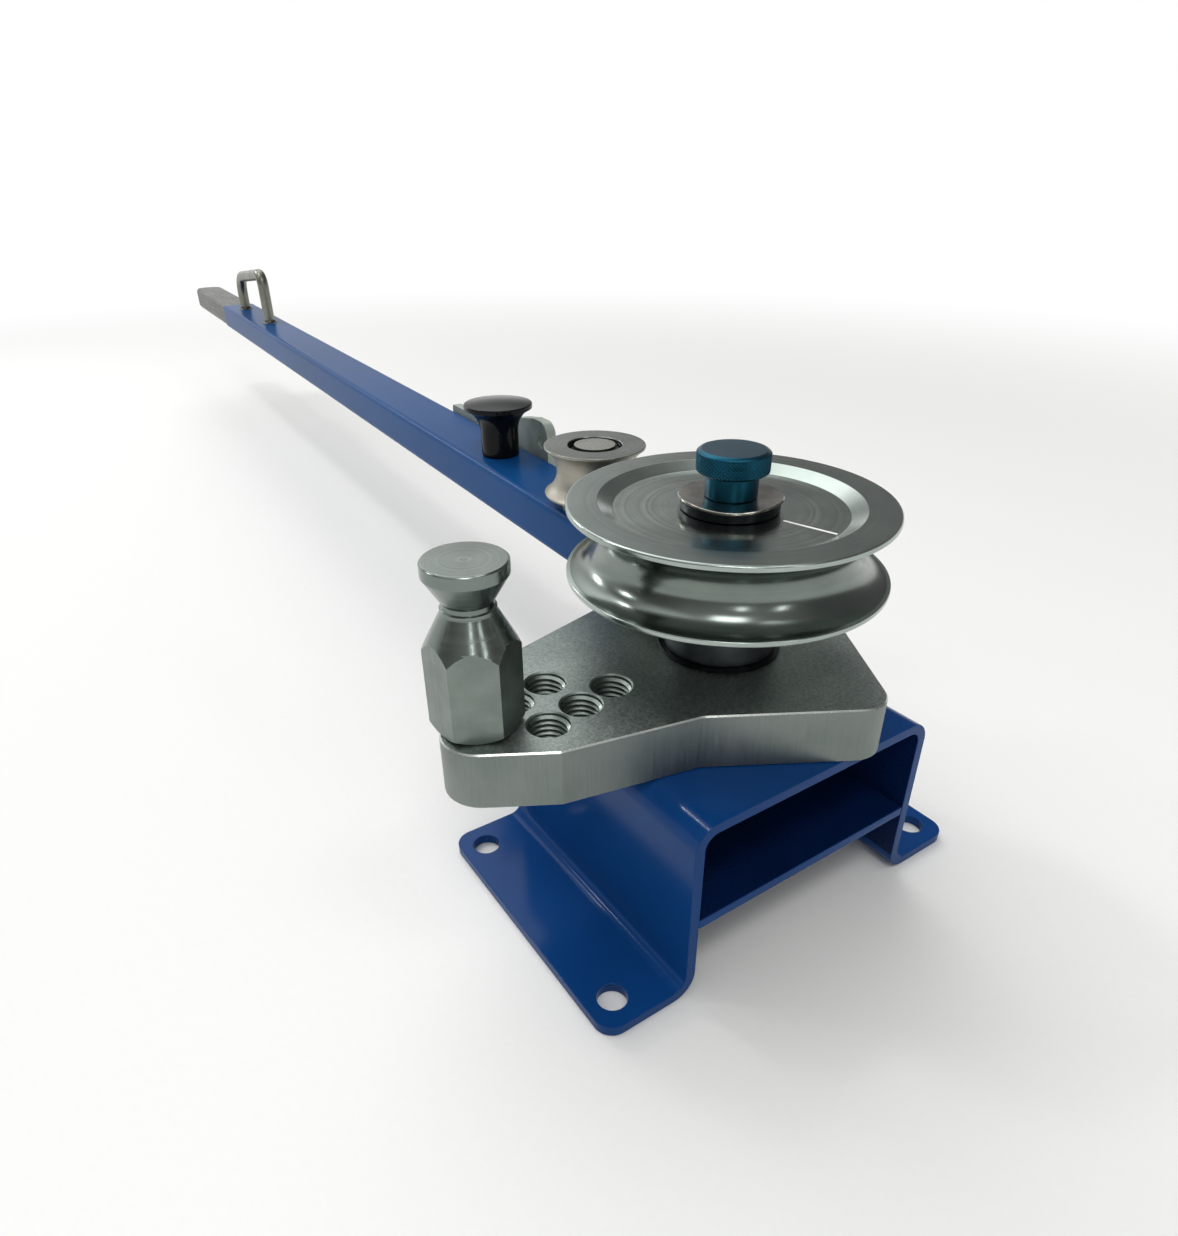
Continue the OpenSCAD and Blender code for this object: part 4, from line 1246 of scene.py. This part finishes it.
# Solids that show, or lie hidden, as they were packed.
PLAIN_FINISHES: dict[str, Finish] = {
    "plate_washers": SMOOTH_ZINC, "plate_screws": BLACK_OXIDE, "pivot_shaft": BRIGHT_BAR,
    "foot_washer": SMOOTH_ZINC, "foot_nut": SMOOTH_ZINC, "low_thrust_washer": BLACK_OXIDE,
    "arm_hub": OILED_STEEL, "hub_bush": BEARING_BRONZE, "top_thrust_washer": BEARING_BRONZE,
    "arm_bar": SMOOTH_ZINC, "cheek_screws": BLACK_OXIDE, "roller_pin": BRIGHT_BAR,
    "roller_spacer": SMOOTH_ZINC, "retaining_ring": BLACK_OXIDE, "plunger_body": BLACK_OXIDE,
    "plunger_cap": BLACK_OXIDE, "roller_bush": BEARING_BRONZE, "plunger_pin": BRIGHT_BAR,
    "wheel_bush": BEARING_BRONZE, "clamp_screw": BRIGHT_BAR,
}


# Studio


def seen_directly(tree: bpy.types.NodeTree) -> bpy.types.NodeSocket:
    """Tells what is seen, also in a gloss or through glass, from what only lights.

    Args:
        tree: Node tree of a material or the world.

    Returns:
        1 for a ray from the camera, off a gloss or through glass, and 0 for other light.
    """
    path = add_node(tree, "LightPath").outputs
    gloss = add_node(tree, "Math", {0: path["Is Camera Ray"], 1: path["Is Glossy Ray"]}, operation="MAXIMUM")
    return add_node(tree, "Math", {0: gloss.outputs[0], 1: path["Is Transmission Ray"]},
                    operation="MAXIMUM").outputs[0]


@dataclass(frozen=True)
class FloorPaint(Finish):
    """Paint on the studio's floor, which takes the part's shadow and fades to white far off.

    Attributes:
        centre: Middle of the floor's clean part, in metres.
        fade: Distances from there between which the floor turns white, in metres.
    """

    centre: tuple[float, float, float] = (0.0, 0.35, 0.0)
    fade: Point2 = (0.5, 1.6)

    def material(self) -> bpy.types.Material:
        """Builds the material.

        Returns:
            A material with faint specks that shines white by itself far off.
        """
        made = bpy.data.materials.new(self.name)
        made.use_nodes = True
        tree = made.node_tree
        shader = tree.nodes["Principled BSDF"]
        place = add_node(tree, "TexCoord").outputs["Object"]
        tone = add_node(tree, "Mix", {0: self.marks(tree, place), 6: linear(self.colour), 7: linear(self.shade)},
                        data_type="RGBA")
        tree.links.new(tone.outputs[2], shader.inputs["Base Color"])
        shader.inputs["Roughness"].default_value = self.roughness
        away = add_node(tree, "VectorMath", {0: place, 1: self.centre}, operation="DISTANCE").outputs["Value"]
        far = add_node(tree, "MapRange", {"Value": away, "From Min": self.fade[0], "From Max": self.fade[1]},
                       interpolation_type="SMOOTHSTEP").outputs["Result"]
        lit = add_node(tree, "Math", {0: far, 1: seen_directly(tree)}, operation="MULTIPLY").outputs[0]
        white = add_node(tree, "Emission", {"Color": (1.0, 1.0, 1.0, 1.0)})
        both = add_node(tree, "MixShader", {0: lit, 1: shader.outputs[0], 2: white.outputs[0]})
        tree.links.new(both.outputs[0], tree.nodes["Material Output"].inputs["Surface"])
        return made


# Matt white paint, rolled on: specks too faint to see as a pattern.
FLOOR_PAINT = FloorPaint("painted_studio_floor", "#F2F2EF", "#F5F5F3", 0.9, grain=2.5 * MM)


@dataclass(frozen=True)
class Window:
    """Soft bright field on the room's walls or ceiling.

    Attributes:
        heading: Heading of its middle from +Y towards +X, in degrees.
        rise: Angle of its middle above the horizon, in degrees.
        reach: Angle from its middle to its faint end, in degrees. It is full within a quarter of that.
        strength: Brightness of its middle, where 1 is white.
    """

    heading: float
    rise: float
    reach: float
    strength: float

    def glow(self, tree: bpy.types.NodeTree, ray: bpy.types.NodeSocket) -> bpy.types.NodeSocket:
        """Draws the window on the world.

        Args:
            tree: World's node tree.
            ray: Direction that is looked up.

        Returns:
            The window's brightness in that direction.
        """
        middle = direction(self.heading, self.rise)
        near = add_node(tree, "VectorMath", {0: ray, 1: middle}, operation="DOT_PRODUCT").outputs["Value"]
        angle = add_node(tree, "Math", {0: near}, operation="ARCCOSINE").outputs[0]
        return add_node(tree, "MapRange", {"Value": angle, "From Min": math.radians(self.reach),
                                           "From Max": math.radians(self.reach / 4), "To Min": 0.0,
                                           "To Max": self.strength},
                        interpolation_type="SMOOTHSTEP").outputs["Result"]


# Pale wall to the left, lit from below the edge of the floor, so that only its upper part shows.
LEFT_WALL = Window(-9.0, -37.0, 78.0, 2.4)
# Large window high ahead of the camera, which the level faces mirror.
HIGH_WINDOW = Window(15.0, 52.0, 37.0, 2.3)
# Skylight to the left, which the bends of the base mirror.
SKYLIGHT = Window(-58.6, 66.0, 30.0, 1.1)
# Pale wall behind the camera, which the near chamfers and the lower half of the groove mirror.
REAR_WALL = Window(213.0, 52.0, 60.0, 0.3)


@dataclass(frozen=True)
class Lamp:
    """Small soft lamp, for the sharp lights on edges and in the groove.

    Attributes:
        name: Name of the lamp.
        heading: Its heading from +Y towards +X as seen from the part, in degrees.
        rise: Its angle above the horizon, in degrees.
        sides: Width and height of its face, in metres.
        watts: Its power.
        away: Its distance from the part, in metres.
        aim: Height of the point that it faces, above the bench.
    """

    name: str
    heading: float
    rise: float
    sides: Point2
    watts: float
    away: float = 1.6
    aim: float = 0.1

    def hang(self) -> None:
        """Hangs the lamp, facing the part."""
        data = bpy.data.lights.new(self.name, "AREA")
        data.shape, data.size, data.size_y, data.energy = "RECTANGLE", *self.sides, self.watts
        lamp = put_in_scene(self.name, data)
        way = direction(self.heading, self.rise)
        lamp.location = Vector((0.0, 0.0, self.aim)) + way * self.away
        lamp.rotation_euler = (-way).to_track_quat("-Z", "Y").to_euler()


# Two large lamps behind the camera for the near edges, two strips for the post's cone, two small ones for the
# bends of the base, and one beyond the wheel for the arm's near edge.
LAMPS = (
    Lamp("edge_lamp_right", 214.0, 59.0, (0.5, 0.4), 4.5), Lamp("edge_lamp_left", 156.0, 65.0, (0.4, 0.3), 1.6),
    Lamp("cone_lamp_right", 207.0, 27.0, (0.12, 0.3), 1.0), Lamp("cone_lamp_left", 174.0, 26.0, (0.12, 0.3), 0.9),
    Lamp("bend_lamp_high", -25.0, 52.0, (0.14, 0.14), 2.2), Lamp("bend_lamp_low", -47.0, 33.0, (0.12, 0.12), 1.6),
    Lamp("arm_edge_lamp", -14.0, 22.0, (0.12, 0.2), 2.4),
)


@dataclass
class Studio:
    """Pale floor, soft room and the photograph's camera.

    Attributes:
        eye: Camera's place, in metres.
        heading: Turn of the view from +Y towards +X, in degrees.
        dip: Angle of the view below the horizon, in degrees.
        roll: Turn of the picture, in degrees.
        focal_px: Focal length in the photograph's pixels.
        centre_px: Point of the photograph that the lens axis meets.
        sensor: Width of the camera's sensor, in millimetres.
        walls: Brightness of the room between its windows.
        windows: Bright fields of the room.
        lamps: Its lamps.
        horizon: Sines of the rises between which a mirrored horizon fades from white to the room.
        half: Half the floor's width, in metres.
        sunk: Depth of the floor below the part's feet, in metres.
    """

    eye: tuple[float, float, float] = (-0.18573, -0.19505, 0.24382)
    heading: float = 33.39
    dip: float = 30.64
    roll: float = -0.56
    focal_px: float = 842.99
    centre_px: Point2 = (583.92, 663.38)
    sensor: float = 36.0
    walls: float = 0.18
    windows: tuple[Window, ...] = (LEFT_WALL, HIGH_WINDOW, SKYLIGHT, REAR_WALL)
    lamps: tuple[Lamp, ...] = LAMPS
    horizon: Point2 = (0.13, 0.17)
    half: float = 6.0
    sunk: float = 0.2 * MM

    def camera(self) -> None:
        """Sets the camera that took the photograph."""
        data = bpy.data.cameras.new("photo_camera")
        long_side = max(PHOTO_SIZE)
        data.sensor_width = self.sensor
        data.lens = self.focal_px / long_side * data.sensor_width
        data.shift_x = (PHOTO_SIZE[0] / 2 - self.centre_px[0]) / long_side
        data.shift_y = (self.centre_px[1] - PHOTO_SIZE[1] / 2) / long_side
        data.clip_start, data.clip_end = 0.01, 50.0
        camera = put_in_scene("photo_camera", data)
        yaw, roll = math.radians(self.heading), math.radians(self.roll)
        forward = direction(self.heading, -self.dip)
        right = Vector((math.cos(yaw), -math.sin(yaw), 0.0))
        up = right.cross(forward)
        across = right * math.cos(roll) + up * math.sin(roll)
        top = up * math.cos(roll) - right * math.sin(roll)
        camera.matrix_world = Matrix.Translation(self.eye) @ Matrix((across, top, -forward)).transposed().to_4x4()
        bpy.context.scene.camera = camera

    def world(self) -> None:
        """Lights the part with a dim room and its windows.

        The camera sees white behind the part, and so does a gloss that mirrors the horizon.
        """
        world = bpy.data.worlds.new("studio")
        world.use_nodes = True
        tree = world.node_tree
        ray = add_node(tree, "VectorMath", {0: add_node(tree, "TexCoord").outputs["Generated"]},
                       operation="NORMALIZE").outputs[0]
        room: bpy.types.NodeSocket | float = self.walls
        for window in self.windows:
            room = add_node(tree, "Math", {0: room, 1: window.glow(tree, ray)}, operation="ADD").outputs[0]
        height = add_node(tree, "SeparateXYZ", {0: ray}).outputs["Z"]
        horizon = add_node(tree, "MapRange", {"Value": height, "From Min": self.horizon[0],
                                              "From Max": self.horizon[1], "To Min": 1.0, "To Max": 0.0},
                           interpolation_type="SMOOTHSTEP").outputs["Result"]
        mirrored = add_node(tree, "Math", {0: horizon, 1: seen_directly(tree)}, operation="MULTIPLY").outputs[0]
        camera = add_node(tree, "LightPath").outputs["Is Camera Ray"]
        white = add_node(tree, "Math", {0: mirrored, 1: camera}, operation="MAXIMUM").outputs[0]
        strength = add_node(tree, "MapRange", {"Value": white, "To Min": room, "To Max": 1.0}).outputs["Result"]
        background = tree.nodes["Background"]
        background.inputs["Color"].default_value = (1.0, 1.0, 1.0, 1.0)
        tree.links.new(strength, background.inputs["Strength"])
        bpy.context.scene.world = world

    def floor(self) -> None:
        """Lays a pale floor that keeps the object's shadow."""
        half = self.half
        corners = [Vector((x, y, 0.0)) for x, y in ((-half, -half), (half, -half), (half, half), (-half, half))]
        piece = mesh_piece("studio_floor", corners, [(0, 1, 2, 3)])
        piece.location.z = -self.sunk
        piece.data.materials.append(dressed(FLOOR_PAINT))

    def build(self) -> None:
        """Sets the camera, the light and the floor."""
        bpy.context.scene.view_settings.view_transform = "Standard"
        self.camera()
        self.world()
        self.floor()
        for lamp in self.lamps:
            lamp.hang()


def main() -> None:
    """Builds the sub-assemblies in order, then the studio."""
    logging.basicConfig(level=logging.INFO, format="%(name)s: %(message)s")
    for node, finish in PLAIN_FINISHES.items():
        finish_node(node, finish)
    for part in (FoldedBase(), StopPlate(), FormWheel(), Arm()):
        part.build()
        LOG.info("%s is dressed", type(part).__name__)
    Studio().build()


if __name__ == "__main__":
    main()
